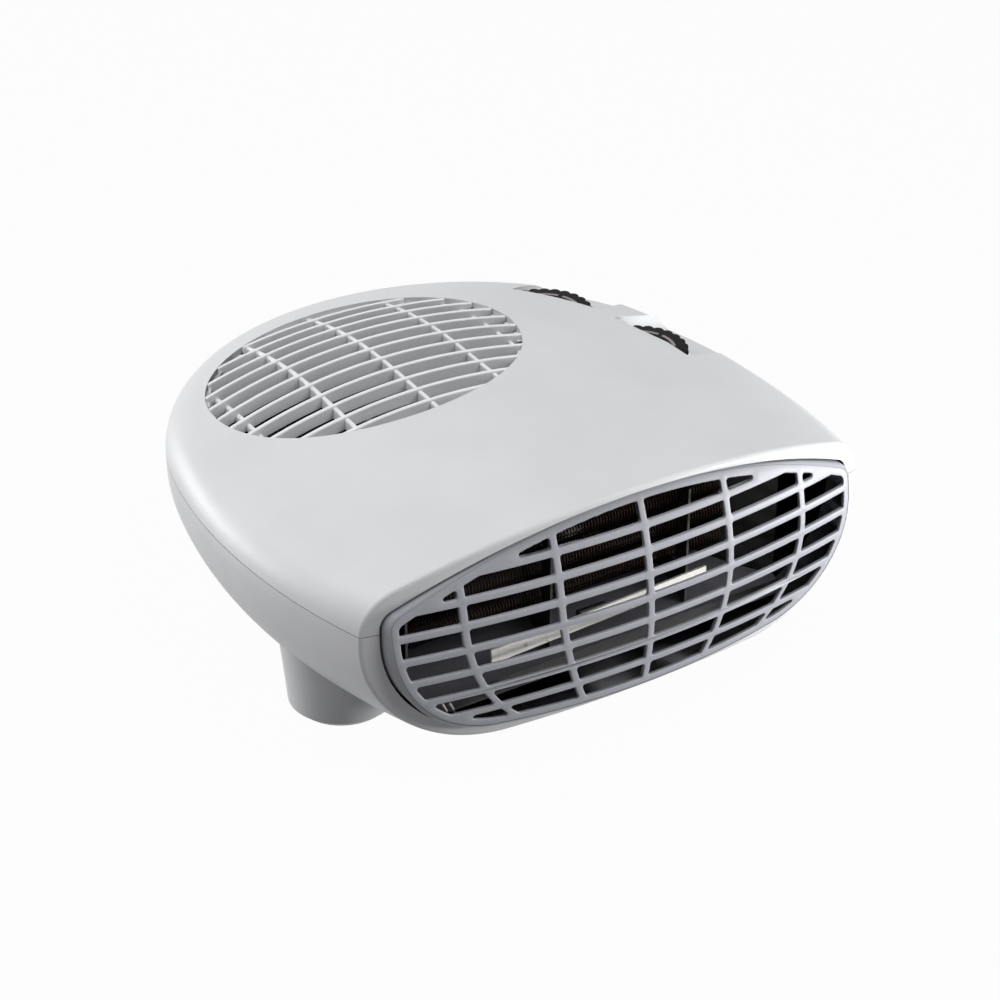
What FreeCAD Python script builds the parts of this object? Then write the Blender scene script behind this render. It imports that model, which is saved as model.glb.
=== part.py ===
import FreeCAD, Part
import math
import os
import re
import Sketcher

# Portable flat fan heater. Millimetres. Z is up, the outlet faces -Y, X = 0 is the middle of the front,
# Z = 0 is the surface that the feet stand on.

V = FreeCAD.Vector
X_AXIS = V(1, 0, 0)
Y_AXIS = V(0, 1, 0)
Z_AXIS = V(0, 0, 1)

doc = FreeCAD.newDocument("FanHeater")

SIZES = [
    # Housing: plan outline, crown and belly
    ("body_half_width", 124.7),
    ("standard_half_width", 124.7),
    ("stretch", "=body_half_width / standard_half_width"),
    ("rear_y", 125.8),
    ("front_y", -118.4),
    ("side_arc_radius", 260.0),
    ("side_centre_x", "=body_half_width - side_arc_radius"),
    ("rear_arc_step", 4.7),
    ("rear_arc_radius", "=body_half_width - rear_arc_step"),
    ("rear_centre_y", "=rear_y - rear_arc_radius"),
    ("arc_reach", "=side_arc_radius - rear_arc_radius"),
    ("side_centre_y", "=rear_centre_y - sqrt(arc_reach ^ 2 - side_centre_x ^ 2)"),
    ("front_half_width", "=side_centre_x + sqrt(side_arc_radius ^ 2 - (front_y - side_centre_y) ^ 2)"),
    ("front_bow_radius", 510.0),
    ("crown_z", 101.6),
    ("crown_y", 17.0),
    ("crown_rear_radius", 255.0),
    ("crown_front_radius", 6500.0),
    ("crown_cross_fall", 26.37),
    ("crown_cross_radius", "=(body_half_width ^ 2 + crown_cross_fall ^ 2) / (2 * crown_cross_fall)"),
    ("shoulder_radius", 19.0),
    ("belly_z", 11.5),
    ("side_flat", 0.5),
    ("lip_round", 1.8),
    ("wall", 2.4),
    ("lip_depth", 8.0),
    ("parting_z", 66.5),
    ("parting_gap", 0.4),
    ("tongue_height", 3.0),
    ("tongue_wall", 1.1),
    ("fit_gap", 0.3),
    # Feet and the four housing screws that go up through them
    ("front_foot_x", "=90 * stretch"),
    ("front_foot_y", -49.0),
    ("rear_foot_x", "=62 * stretch"),
    ("rear_foot_y", 58.0),
    ("rear_screw_edge", 7.7),
    ("rear_screw_turn", 50.1),
    ("rear_screw_x", "=(rear_arc_radius - rear_screw_edge) * cos(rear_screw_turn)"),
    ("rear_screw_y", "=rear_centre_y + (rear_arc_radius - rear_screw_edge) * sin(rear_screw_turn)"),
    ("foot_radius", 21.0),
    ("foot_taper", 0.09),
    ("foot_edge", 3.0),
    ("foot_height", 34.0),
    ("boss_radius", 4.6),
    ("boss_wall", 1.6),
    ("boss_room", 1.2),
    ("post_radius", 4.6),
    ("thread_gap", 0.05),
    ("screw_radius", 1.9),
    ("screw_head_radius", 3.6),
    ("screw_head_height", 2.6),
    ("front_seat_z", 36.0),
    ("rear_seat_z", 44.0),
    ("seat_wall", 3.0),
    ("screw_grip", 9.0),
    # Round inlet in the crown
    ("inlet_x", "=-29 * stretch"),
    ("inlet_y", 34.0),
    ("inlet_half_length", "=66 * stretch"),
    ("inlet_half_depth", 58.5),
    ("inlet_slat_first_y", -12.5),
    ("inlet_slat_pitch", 10.6),
    ("inlet_slat_count", 10),
    ("inlet_slat_wall", 1.7),
    ("inlet_slat_depth", 5.5),
    ("inlet_rib_x", "=-26 * stretch"),
    ("inlet_rib_pitch", "=31.5 * stretch"),
    ("inlet_low_rib_reach", "=57 * stretch"),
    ("inlet_low_rib_sink", 3.0),
    ("inlet_rib_wall", 1.7),
    ("inlet_flange", 5.0),
    ("seam_gap", 0.15),
    ("inlet_flange_wall", 2.0),
    # Outlet opening and its grille
    ("outlet_side_lip", 3.8),
    ("outlet_half_width", "=front_half_width - outlet_side_lip"),
    ("outlet_top_z", 97.2),
    ("outlet_top_fall", 24.66),
    ("outlet_top_radius", "=(outlet_half_width ^ 2 + outlet_top_fall ^ 2) / (2 * outlet_top_fall)"),
    ("outlet_top_corner", 7.0),
    ("outlet_bottom_z", 14.9),
    ("outlet_corner_z", 63.5),
    ("outlet_corner_radius", 46.0),
    ("outlet_gap", 1.0),
    ("face_front_y", -125.8),
    ("face_mid_z", 45.4),
    ("face_radius_x", 459.0),
    ("face_radius_z", 124.0),
    ("face_thickness", 1.7),
    ("rim_round", 1.6),
    ("frame_width", 4.2),
    ("skirt_wall", 2.0),
    ("skirt_back_y", -100.0),
    ("slat_top_z", 83.8),
    ("slat_pitch", 9.4),
    ("slat_count", 7),
    ("slat_width", 2.7),
    ("rib_share", 0.365),
    ("rib_pitch", "=outlet_half_width * rib_share"),
    ("rib_width", 2.9),
    ("rib_bend_z", 65.0),
    ("rib_inner_radius", 104.0),
    ("rib_outer_radius", 57.0),
    ("window_least", 10.0),
    ("window_corner", 1.0),
    ("corner_share", 0.4),
    ("smooth_cosine", 0.97),
    ("lug_x", 40.0),
    ("lug_length", 12.0),
    ("lug_height", 2.6),
    # Thumbwheels on the right shoulder
    ("wheel_radius", 21.0),
    ("wheel_thickness", 7.0),
    ("wheel_scallops", 26),
    ("scallop_radius", 2.0),
    ("rear_wheel_x", "=64.7 * stretch"),
    ("rear_wheel_y", 43.6),
    ("rear_wheel_turn", 29.0),
    ("rear_wheel_top_z", 89.4),
    ("front_wheel_x", "=80.2 * stretch"),
    ("front_wheel_y", -3.4),
    ("front_wheel_turn", 16.5),
    ("front_wheel_top_z", 86.9),
    ("wheel_proud", 10.5),
    ("wheel_gap", 0.5),
    ("notch_half_width", 21.0),
    ("notch_corner", 7.0),
    ("notch_fall", 9.0),
    ("spindle_radius", 3.0),
    ("spindle_clearance", 0.05),
    ("control_x", "=74 * stretch"),
    ("control_y", 20.0),
    ("control_post_reach", "=18 * stretch"),
    ("control_plate_z", 56.0),
    ("control_plate_width", "=48 * stretch"),
    ("control_plate_depth", 86.0),
    ("control_plate_wall", 1.5),
    ("control_length", 30.0),
    ("control_width", 22.0),
    ("control_height", 15.0),
    ("control_floor", 2.0),
    ("control_neck_radius", 5.0),
    ("control_neck_height", 4.0),
    # Fan, motor and the deck that carries them
    ("deck_z", 46.0),
    ("deck_wall", 1.6),
    ("deck_front_y", -66.0),
    ("deck_right_x", "=48 * stretch"),
    ("deck_post_near", "=58.6 * stretch"),
    ("deck_post_left_turn", 135.0),
    ("deck_post_far", "=66 * stretch"),
    ("deck_post_rear_turn", 60.0),
    ("deck_post_front_turn", -20.0),
    ("fan_radius", "=54 * stretch"),
    ("fan_height", 31.0),
    ("fan_deck_gap", 3.0),
    ("fan_disc_wall", 1.6),
    ("fan_blades", 24),
    ("fan_blade_length", 14.0),
    ("fan_blade_wall", 1.2),
    ("fan_blade_lag", 12.0),
    ("fan_blade_bow", 0.22),
    ("fan_ring_width", 3.0),
    ("hub_radius", 7.0),
    ("hub_height", 18.0),
    ("shaft_radius", 2.5),
    ("bearing_clearance", 0.05),
    ("bearing_radius", 6.0),
    ("bearing_height", 6.0),
    ("stack_length", 62.0),
    ("stack_depth", 50.0),
    ("stack_front", 19.0),
    ("core_leg", 8.0),
    ("winding_length", 34.0),
    ("winding_gap", 0.3),
    ("stack_height", 14.0),
    ("stack_z", 23.6),
    ("rotor_radius", 14.0),
    ("rotor_gap", 0.5),
    ("bracket_width", 14.0),
    ("bracket_wall", 1.5),
    ("bracket_offset", 3.0),
    ("motor_bolt_x", 25.0),
    ("motor_bolt_radius", 2.0),
    ("winding_wall", 7.0),
    # Scroll, heater duct and element
    ("scroll_wall", 1.6),
    ("scroll_start", "=58.5 * stretch"),
    ("scroll_growth", "=6.5 * stretch"),
    ("duct_right_x", "=76 * stretch"),
    ("duct_front_y", -103.0),
    ("duct_flare_radius", 120.0),
    ("deflector_front_y", -110.0),
    ("deflector_front_z", 26.0),
    ("deflector_wall", 1.0),
    ("deflector_lap", 9.0),
    ("coil_y", -92.0),
    ("coil_low_z", 51.0),
    ("coil_pitch_z", 12.0),
    ("coil_left_x", "=-97 * stretch"),
    ("coil_right_x", "=37 * stretch"),
    ("coil_radius", 4.6),
    ("coil_wire_radius", 0.55),
    ("coil_turns", 14),
    ("comb_wall", 1.0),
    ("comb_depth", 16.0),
    ("comb_gap", 0.3),
    ("comb_inset", 4.0),
    ("comb_top_z", 81.0),
    ("strip_left_x", "=-57 * stretch"),
    ("strip_right_x", "=42 * stretch"),
    ("strip_y", -103.6),
    ("strip_height", 6.0),
    ("strip_wall", 1.0),
    ("strip_left_z", 34.6),
    ("strip_tilt", 2.4),
    # Safety parts and terminals
    ("cutout_x", "=5 * stretch"),
    ("cutout_radius", 6.5),
    ("cutout_height", 9.0),
    ("fuse_x", "=-16 * stretch"),
    ("fuse_radius", 2.0),
    ("fuse_length", 12.0),
    ("terminal_x", "=54 * stretch"),
    ("terminal_y", -36.0),
    ("terminal_length", 30.0),
    ("terminal_width", 14.0),
    ("terminal_height", 12.0),
    ("terminal_hole", 2.2),
    # Cord entry at the rear
    ("gland_turn", 60.0),
    ("gland_z", 54.0),
    ("gland_radius", 5.5),
    ("gland_bore", 3.4),
    ("gland_flange_radius", 8.5),
    ("gland_flange_wall", 2.5),
    ("gland_reach", 9.0),
]

sheet = doc.addObject("Spreadsheet::Sheet", "Sizes")
for row, (alias, value) in enumerate(SIZES, start=1):
    sheet.set("A%d" % row, alias)
    sheet.set("B%d" % row, str(value))
    sheet.setAlias("B%d" % row, alias)
doc.recompute()
ALIASES = {alias for alias, value in SIZES}


class SheetValues:
    """Reads the driving dimensions back from the sheet by name."""

    def __getattr__(self, alias):
        return sheet.get(alias)


S = SheetValues()


def bound(text):
    """Points every size named in an expression at its cell."""
    def cell(found):
        word = found.group(0)
        return "Sizes." + word if word in ALIASES else word
    return re.sub(r"[a-z][a-z_]*", cell, text)


def bind(obj, **expressions):
    for name, text in expressions.items():
        obj.setExpression(name, bound(text))


def place(obj, x="0", y="0", z="0"):
    for axis, text in zip("xyz", (x, y, z)):
        obj.setExpression("Placement.Base." + axis, bound(text))


def box(name, length, width, height, x="0", y="0", z="0"):
    obj = doc.addObject("Part::Box", name)
    bind(obj, Length=length, Width=width, Height=height)
    place(obj, x, y, z)
    return obj


def cylinder(name, radius, height, x="0", y="0", z="0", turn=None):
    obj = doc.addObject("Part::Cylinder", name)
    bind(obj, Radius=radius, Height=height)
    if turn:
        obj.Placement = FreeCAD.Placement(V(), FreeCAD.Rotation(*turn))
    place(obj, x, y, z)
    return obj


def cut(name, base, tool):
    obj = doc.addObject("Part::Cut", name)
    obj.Base = base
    obj.Tool = tool
    return obj


def fuse(name, shapes):
    obj = doc.addObject("Part::MultiFuse", name)
    obj.Shapes = shapes
    return obj


def solid_feature(name, shape):
    obj = doc.addObject("Part::Feature", name)
    obj.Shape = shape
    return obj


NODES = []


def node(obj, label):
    obj.Label = label
    NODES.append(obj)
    return obj


def line(start, end):
    return Part.LineSegment(start, end).toShape()


def arc(start, middle, end):
    return Part.Arc(start, middle, end).toShape()


def mirrored(point):
    return V(-point.x, point.y, point.z)


# Housing form: plan outline, crown and belly, all offset by the same inset

# How far cutting solids run on past the part, the turn of the crown's arc, and how close counts as touching

FRONT_RUN = 25.0
CROWN_SWEEP = 80.0
TOUCH = 0.01


def plan_face(inset):
    rear_centre = V(0, S.rear_centre_y, 0)
    side_centre = V(S.side_centre_x, S.side_centre_y, 0)
    rear_radius = S.rear_arc_radius - inset
    side_radius = S.side_arc_radius - inset
    join = rear_centre + (rear_centre - side_centre) * (rear_radius / S.arc_reach)
    front = S.front_y - FRONT_RUN
    run = front - side_centre.y
    corner = V(side_centre.x + math.sqrt(side_radius ** 2 - run ** 2), front, 0)
    widest = side_centre + V(side_radius, 0, 0)
    rearmost = rear_centre + V(0, rear_radius, 0)
    outline = Part.Wire([
        arc(corner, widest, join),
        arc(join, rearmost, mirrored(join)),
        arc(mirrored(join), mirrored(widest), mirrored(corner)),
        line(mirrored(corner), corner)])
    return Part.Face(outline)


def crown_height(y, inset):
    """Height of the crown on the centre line."""
    radius = S.crown_rear_radius if y > S.crown_y else S.crown_front_radius
    return S.crown_z - radius + math.sqrt((radius - inset) ** 2 - (y - S.crown_y) ** 2)


def crown_solid(inset):
    axis = V(0, 0, S.crown_z - S.crown_cross_radius)
    front = S.front_y - 2 * FRONT_RUN
    rear = S.rear_y + FRONT_RUN / 2
    inner_z = axis.z + S.crown_cross_radius / 2
    points = [V(0, y, crown_height(y, inset)) for y in (
        front, (front + S.crown_y) / 2, S.crown_y, (rear + S.crown_y) / 2, rear)]
    profile = Part.Wire([
        arc(points[0], points[1], points[2]),
        arc(points[2], points[3], points[4]),
        line(points[4], V(0, rear, inner_z)),
        line(V(0, rear, inner_z), V(0, front, inner_z)),
        line(V(0, front, inner_z), points[0])])
    face = Part.Face(profile)
    face.rotate(axis, Y_AXIS, -CROWN_SWEEP / 2)
    return face.revolve(axis, Y_AXIS, CROWN_SWEEP)


def body_form(inset):
    """The whole closed body, inset evenly, running on past the front."""
    floor = S.belly_z + inset
    plan = plan_face(inset)
    plan.translate(V(0, 0, floor))
    form = plan.extrude(V(0, 0, S.crown_z - floor)).common(crown_solid(inset)).Solids[0]
    front = S.front_y - FRONT_RUN
    sides = [edge for edge in form.Edges if edge.BoundBox.YMax > front + TOUCH]
    shoulder = [edge for edge in sides if edge.BoundBox.ZMin > S.parting_z]
    form = form.makeFillet(S.shoulder_radius - inset, shoulder)
    sides = [edge for edge in form.Edges if edge.BoundBox.YMax > front + TOUCH]
    bottom = [edge for edge in sides if edge.BoundBox.ZMax < floor + TOUCH]
    side_top = min(edge.BoundBox.ZMin for edge in sides if edge.BoundBox.ZMin > S.parting_z / 2)
    return form.makeFillet(side_top - S.side_flat - floor, bottom)


def behind_front(depth):
    """Everything behind the bowed front, set back by a depth."""
    centre = V(0, S.front_y + S.front_bow_radius, S.belly_z - FRONT_RUN)
    return Part.makeCylinder(S.front_bow_radius - depth, S.crown_z + 2 * FRONT_RUN, centre)


def slab(z_low, z_high):
    """A wide flat block between two heights."""
    reach = 2 * S.body_half_width
    return Part.makeBox(2 * reach, 2 * reach, z_high - z_low, V(-reach, -reach, z_low))


def rod(x, y, z_low, z_high, radius, end_radius=None):
    """An upright round bar, tapered when an end radius is given."""
    if end_radius is None:
        return Part.makeCylinder(radius, z_high - z_low, V(x, y, z_low))
    return Part.makeCone(radius, end_radius, z_high - z_low, V(x, y, z_low))


# Outlet outline, drawn in the XZ plane

def outlet_face(grow):
    half = S.outlet_half_width
    top_centre = V(0, 0, S.outlet_top_z - S.outlet_top_radius)
    corner = S.outlet_top_corner
    inner = S.outlet_top_radius - corner
    corner_centre = V(half - corner, 0, top_centre.z + math.sqrt(inner ** 2 - (half - corner) ** 2))
    bend = S.outlet_corner_radius
    bend_centre = V(half - bend, 0, S.outlet_corner_z)
    rise = S.outlet_corner_z - S.outlet_bottom_z
    bottom_radius = (bend_centre.x ** 2 + rise ** 2 - bend ** 2) / (2 * (rise - bend))
    bottom_centre = V(0, 0, S.outlet_bottom_z + bottom_radius)

    def beyond(origin, through, radius):
        step = through - origin
        return origin + step * (radius / step.Length)

    top_end = beyond(top_centre, corner_centre, S.outlet_top_radius + grow)
    side_top = corner_centre + V(corner + grow, 0, 0)
    corner_mid = beyond(corner_centre, (top_end + side_top) * 0.5, corner + grow)
    side_low = bend_centre + V(bend + grow, 0, 0)
    bottom_end = beyond(bottom_centre, bend_centre, bottom_radius + grow)
    bend_mid = beyond(bend_centre, (side_low + bottom_end) * 0.5, bend + grow)
    top = V(0, 0, S.outlet_top_z + grow)
    bottom = V(0, 0, S.outlet_bottom_z - grow)
    outline = Part.Wire([
        arc(mirrored(top_end), top, top_end),
        arc(top_end, corner_mid, side_top),
        line(side_top, side_low),
        arc(side_low, bend_mid, bottom_end),
        arc(bottom_end, bottom, mirrored(bottom_end)),
        arc(mirrored(bottom_end), mirrored(bend_mid), mirrored(side_low)),
        line(mirrored(side_low), mirrored(side_top)),
        arc(mirrored(side_top), mirrored(corner_mid), mirrored(top_end))])
    return Part.Face(outline)


def along_y(face, y_from, y_to):
    moved = face.copy()
    moved.translate(V(0, y_from, 0))
    return moved.extrude(V(0, y_to - y_from, 0))


# Thumbwheel notches: each is a thumb scoop that starts at the slot and runs out through the shoulder

WHEELS = [
    ("rear_wheel_x", "rear_wheel_y", "rear_wheel_turn", "rear_wheel_top_z"),
    ("front_wheel_x", "front_wheel_y", "front_wheel_turn", "front_wheel_top_z")]


def wheel_values(names):
    return [sheet.get(name) for name in names]


def notch(names, grow):
    x, y, turn, top = wheel_values(names)
    angle = math.radians(turn)
    out = V(math.cos(angle), math.sin(angle), 0)
    side = V(-out.y, out.x, 0)
    start = V(x, y, 0) + out * (S.wheel_radius - S.wheel_proud - grow)
    floor = top - S.wheel_thickness - 2 * S.wheel_gap - grow
    half = S.notch_half_width + grow
    corner = S.notch_corner
    roof = S.crown_z + S.wheel_radius

    def at(across, height):
        return start + side * across + V(0, 0, height)

    low = corner * (1 - math.sqrt(0.5))
    profile = Part.Wire([
        line(at(-half + corner, floor), at(half - corner, floor)),
        arc(at(half - corner, floor), at(half - low, floor + low), at(half, floor + corner)),
        line(at(half, floor + corner), at(half, roof)),
        line(at(half, roof), at(-half, roof)),
        line(at(-half, roof), at(-half, floor + corner)),
        arc(at(-half, floor + corner), at(-half + low, floor + low), at(-half + corner, floor))])
    length = S.body_half_width
    fall = V(0, 0, -length * math.tan(math.radians(S.notch_fall)))
    return Part.Face(profile).extrude(out * length + fall)


def wheel_slot(names):
    x, y, turn, top = wheel_values(names)
    low = top - S.wheel_thickness - S.wheel_gap
    return rod(x, y, low, top + S.wheel_gap, S.wheel_radius + S.wheel_gap)


# Housing shells

def inlet_prism(shrink):
    """An upright prism over the inlet's ellipse, whichever way that is longer, drawn in by a margin."""
    centre = V(S.inlet_x, S.inlet_y, 0)
    length = S.inlet_half_length - shrink
    depth = S.inlet_half_depth - shrink
    ends = (V(length, 0, 0), V(0, depth, 0)) if length >= depth else (V(0, depth, 0), V(-length, 0, 0))
    ellipse = Part.Ellipse(centre + ends[0], centre + ends[1], centre)
    face = Part.Face(Part.Wire([ellipse.toShape()]))
    return face.extrude(V(0, 0, S.crown_z + S.wall))


SCREW_PLACES = [
    (-1, "front_foot_x", "front_foot_y", "front_seat_z"),
    (1, "front_foot_x", "front_foot_y", "front_seat_z"),
    (-1, "rear_screw_x", "rear_screw_y", "rear_seat_z"),
    (1, "rear_screw_x", "rear_screw_y", "rear_seat_z")]


def screw_places():
    for side, x_name, y_name, seat_name in SCREW_PLACES:
        yield side * sheet.get(x_name), sheet.get(y_name), sheet.get(seat_name)


def deck_posts():
    """Places of the four deck posts, round the fan axis."""
    for reach, turn in (
            (S.deck_post_near, S.deck_post_left_turn), (S.deck_post_near, -S.deck_post_left_turn),
            (S.deck_post_far, S.deck_post_rear_turn), (S.deck_post_far, S.deck_post_front_turn)):
        angle = math.radians(turn)
        yield S.inlet_x + reach * math.cos(angle), S.inlet_y + reach * math.sin(angle)


def control_posts():
    for side in (-1, 1):
        yield S.control_x + side * S.control_post_reach, S.control_y


def housing_blank():
    """Both housing halves in one, hollowed, with the outlet opening and the thumb scoops cut."""
    outer = body_form(0).common(behind_front(0))
    front = min(outer.Faces, key=lambda face: face.CenterOfMass.y)
    outer = outer.makeFillet(S.lip_round, front.OuterWire.Edges)
    cavity = body_form(S.wall).common(behind_front(S.lip_depth))
    opening = along_y(outlet_face(S.outlet_gap), S.front_y - FRONT_RUN, S.front_y + 3 * FRONT_RUN)
    scoops = [notch(names, 0) for names in WHEELS]
    backs = [notch(names, S.wall) for names in WHEELS]
    return outer.cut(scoops).cut(cavity.cut(backs)).cut(opening)


def make_upper(blank):
    shell = blank.common(slab(S.parting_z + S.parting_gap / 2, S.crown_z + FRONT_RUN))
    shell = shell.cut([inlet_prism(0)] + [wheel_slot(names) for names in WHEELS])
    bosses = []
    pilots = []
    for x, y, seat in screw_places():
        low = seat + S.seat_wall + S.parting_gap
        bosses.append(rod(x, y, low, S.crown_z, S.boss_radius))
        pilots.append(rod(x, y, low, seat + S.screw_grip + S.seat_wall, S.screw_radius + S.thread_gap))
    rooted = body_form(S.wall / 2).common(slab(S.parting_z + S.parting_gap / 2, S.crown_z))
    free = body_form(S.wall + S.parting_gap + S.tongue_wall + S.fit_gap)
    bosses = [boss.common(rooted).fuse(boss.common(free)) for boss in bosses]
    return shell.fuse(bosses).cut(pilots + [tongue_room()]).removeSplitter()


def tongue_room():
    """The space that the lower half's tongue needs inside the upper half."""
    seam = S.parting_z - S.parting_gap / 2
    ring = body_form(S.wall).cut(body_form(S.wall + S.parting_gap + S.tongue_wall + S.fit_gap))
    return ring.common(slab(seam, seam + S.tongue_height + S.fit_gap)).common(behind_front(S.lip_depth))


def make_feet():
    """Four hollow feet, each a tapered cup with a broken lower edge."""
    feet = []
    hollows = []
    for side in (-1, 1):
        for x, y in ((S.front_foot_x, S.front_foot_y), (S.rear_foot_x, S.rear_foot_y)):
            top_radius = S.foot_radius + S.foot_taper * S.foot_height
            foot = rod(side * x, y, 0, S.foot_height, S.foot_radius, top_radius)
            rim = [edge for edge in foot.Edges if edge.BoundBox.ZMax < S.foot_edge]
            feet.append(foot.makeChamfer(S.foot_edge, rim))
            inner_radius = S.foot_radius - S.wall
            hollows.append(rod(side * x, y, S.wall, S.foot_height, inner_radius, top_radius - S.wall))
    return feet, hollows


def make_lower(blank):
    shell = blank.common(slab(0, S.parting_z - S.parting_gap / 2))
    inside = body_form(S.wall).common(behind_front(S.lip_depth))
    within = body_form(S.wall / 2).common(behind_front(S.lip_depth))
    feet, hollows = make_feet()
    shell = shell.fuse([foot.cut(inside) for foot in feet]).cut(hollows)
    bosses = []
    holes = []
    recess = S.screw_head_radius + S.fit_gap
    for x, y, seat in screw_places():
        holes.append(rod(x, y, -S.wall, seat, recess))
        holes.append(rod(x, y, seat, seat + 2 * S.seat_wall, S.screw_radius + S.fit_gap))
        boss = rod(x, y, 0, seat + S.seat_wall, recess + S.boss_wall)
        if abs(x) == S.front_foot_x:
            bosses.append(boss)
        else:
            bosses.append(boss.common(within))
    posts = [(x, y, S.deck_z) for x, y in deck_posts()]
    posts += [(x, y, S.control_plate_z) for x, y in control_posts()]
    for x, y, top in posts:
        bosses.append(rod(x, y, 0, top, S.post_radius).common(within))
        holes.append(rod(x, y, top - S.screw_grip, top, S.screw_radius + S.thread_gap))
    holes.append(gland_rod(-S.gland_reach, S.gland_reach, S.gland_radius + S.thread_gap))
    behind_lip = behind_front(S.lip_depth + S.wall)
    seam = S.parting_z - S.parting_gap / 2
    clear = S.wall + S.parting_gap
    band = body_form(clear).cut(body_form(clear + S.tongue_wall))
    root = body_form(S.wall / 2).cut(body_form(S.wall + S.tongue_wall))
    root = root.common(slab(seam - S.tongue_height, seam))
    tip = band.common(slab(seam - S.tongue_height, seam + S.tongue_height))
    tongue = root.fuse(tip).common(behind_lip)
    return shell.fuse(bosses + [tongue]).cut(holes).removeSplitter()


def gland_rod(start, end, radius):
    """A round bar along the radial line on which the cord enters at the rear."""
    angle = math.radians(S.gland_turn)
    out = V(math.cos(angle), math.sin(angle), 0)
    foot = V(0, S.rear_centre_y, S.gland_z) + out * (S.rear_arc_radius + start)
    return Part.makeCylinder(radius, end - start, foot, out)


# Grilles

def lattice_strip(points_of, width):
    """A flat strip in the XZ plane that follows x = points_of(z) over the whole outlet height."""
    heights = [S.outlet_bottom_z - S.frame_width, (S.outlet_bottom_z + S.rib_bend_z) / 2, S.rib_bend_z]
    low, middle, bend = [V(points_of(z), 0, z) for z in heights]
    top = V(bend.x, 0, S.outlet_top_z + S.frame_width)
    half = V(width / 2, 0, 0)
    edges = []
    for side in (-1, 1):
        shift = half * side
        if abs(low.x - bend.x) < TOUCH:
            edges.append(line(low + shift, bend + shift))
        else:
            edges.append(arc(low + shift, middle + shift, bend + shift))
        edges.append(line(bend + shift, top + shift))
    edges.append(line(low - half, low + half))
    edges.append(line(top - half, top + half))
    return Part.Face(Part.Wire(Part.__sortEdges__(edges)))


def outlet_ribs():
    """Five ribs, straight above and bending towards the middle below."""
    radii = {0: None, 1: S.rib_inner_radius, 2: S.rib_outer_radius}
    for place in (-2, -1, 0, 1, 2):
        side = 1 if place > 0 else -1
        radius = radii[abs(place)]

        def across(z, side=side, place=place, radius=radius):
            drop = max(S.rib_bend_z - z, 0)
            inward = 0
            if radius:
                inward = radius - math.sqrt(radius ** 2 - min(drop, radius - S.rib_width) ** 2)
            return side * (abs(place) * S.rib_pitch - inward)

        yield lattice_strip(across, S.rib_width)


def outlet_windows(y_from, y_to):
    """Window prisms between the slats and the ribs, with rounded corners and without the slivers."""
    area = outlet_face(-S.frame_width)
    strips = list(outlet_ribs())
    reach = S.outlet_half_width
    for index in range(int(S.slat_count)):
        low = S.slat_top_z - index * S.slat_pitch - S.slat_width / 2
        high = low + S.slat_width
        corners = [V(-reach, 0, low), V(reach, 0, low), V(reach, 0, high), V(-reach, 0, high)]
        strips.append(Part.Face(Part.makePolygon(corners + corners[:1])))
    windows = [face for face in area.cut(strips).Faces if face.Area > S.window_least]
    return [rounded_prism(along_y(window, y_from, y_to)) for window in windows]


def rounded_prism(prism):
    """Rounds the edges of a prism along Y, the short-sided ones by less."""
    upright = [edge for edge in prism.Edges if edge.BoundBox.YLength > S.wall and sharp(prism, edge)]
    least = min(edge.Length for edge in prism.Edges)
    return prism.makeFillet(min(S.window_corner, S.corner_share * least), upright)


def sharp(solid, edge):
    """Whether the two faces at a straight edge meet at an angle."""
    sides = [face for face in solid.Faces if any(edge.isSame(other) for other in face.Edges)]
    middle = edge.valueAt((edge.FirstParameter + edge.LastParameter) / 2)
    normals = [face.normalAt(*face.Surface.parameter(middle)) for face in sides]
    return abs(normals[0].dot(normals[1])) < S.smooth_cosine


def face_revolve(radius, back_y):
    """The space behind the bowed outlet face: a vertical arc turned about a distant upright axis."""
    centre = V(0, S.face_front_y + S.face_radius_z, S.face_mid_z)
    rise = S.outlet_top_z - S.face_mid_z + S.frame_width
    axis = V(0, S.face_front_y + S.face_radius_x, 0)

    outer = [V(0, centre.y - math.sqrt(radius ** 2 - height ** 2), centre.z + height)
             for height in (-rise, 0, rise)]
    inner = [V(0, back_y, point.z) for point in outer]
    outline = Part.Wire([
        arc(*outer), line(outer[2], inner[2]), line(inner[2], inner[0]), line(inner[0], outer[0])])
    face = Part.Face(outline)
    sweep = 4 * math.degrees(math.atan(S.outlet_half_width / S.face_radius_x))
    face.rotate(axis, Z_AXIS, -sweep / 2)
    return face.revolve(axis, Z_AXIS, sweep)


def make_outlet_grille():
    ahead = S.face_front_y - FRONT_RUN
    plug = along_y(outlet_face(0), ahead, S.skirt_back_y)
    plug = plug.common(face_revolve(S.face_radius_z, S.skirt_back_y))
    front = min(plug.Faces, key=lambda face: face.CenterOfMass.y)
    plug = plug.makeFillet(S.rim_round, front.OuterWire.Edges)
    behind = S.skirt_back_y + S.skirt_wall
    hollow = along_y(outlet_face(-S.skirt_wall), ahead, behind)
    hollow = hollow.common(face_revolve(S.face_radius_z - S.face_thickness, behind))
    grille = plug.cut([hollow] + outlet_windows(ahead, behind))
    lug_ring = outlet_face(S.lug_height).cut(outlet_face(-S.skirt_wall))
    lugs = along_y(lug_ring, S.front_y, S.skirt_back_y).common(behind_front(S.lip_depth + S.fit_gap))
    lugs = lugs.common(body_form(S.wall + S.fit_gap))
    height = 2 * S.crown_z
    blocks = []
    for side in (-1, 1):
        corner = V(side * S.lug_x - S.lug_length / 2, ahead, -S.crown_z / 2)
        blocks.append(Part.makeBox(S.lug_length, -ahead, height, corner))
    return grille.fuse([lugs.common(block) for block in blocks]).removeSplitter()


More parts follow.
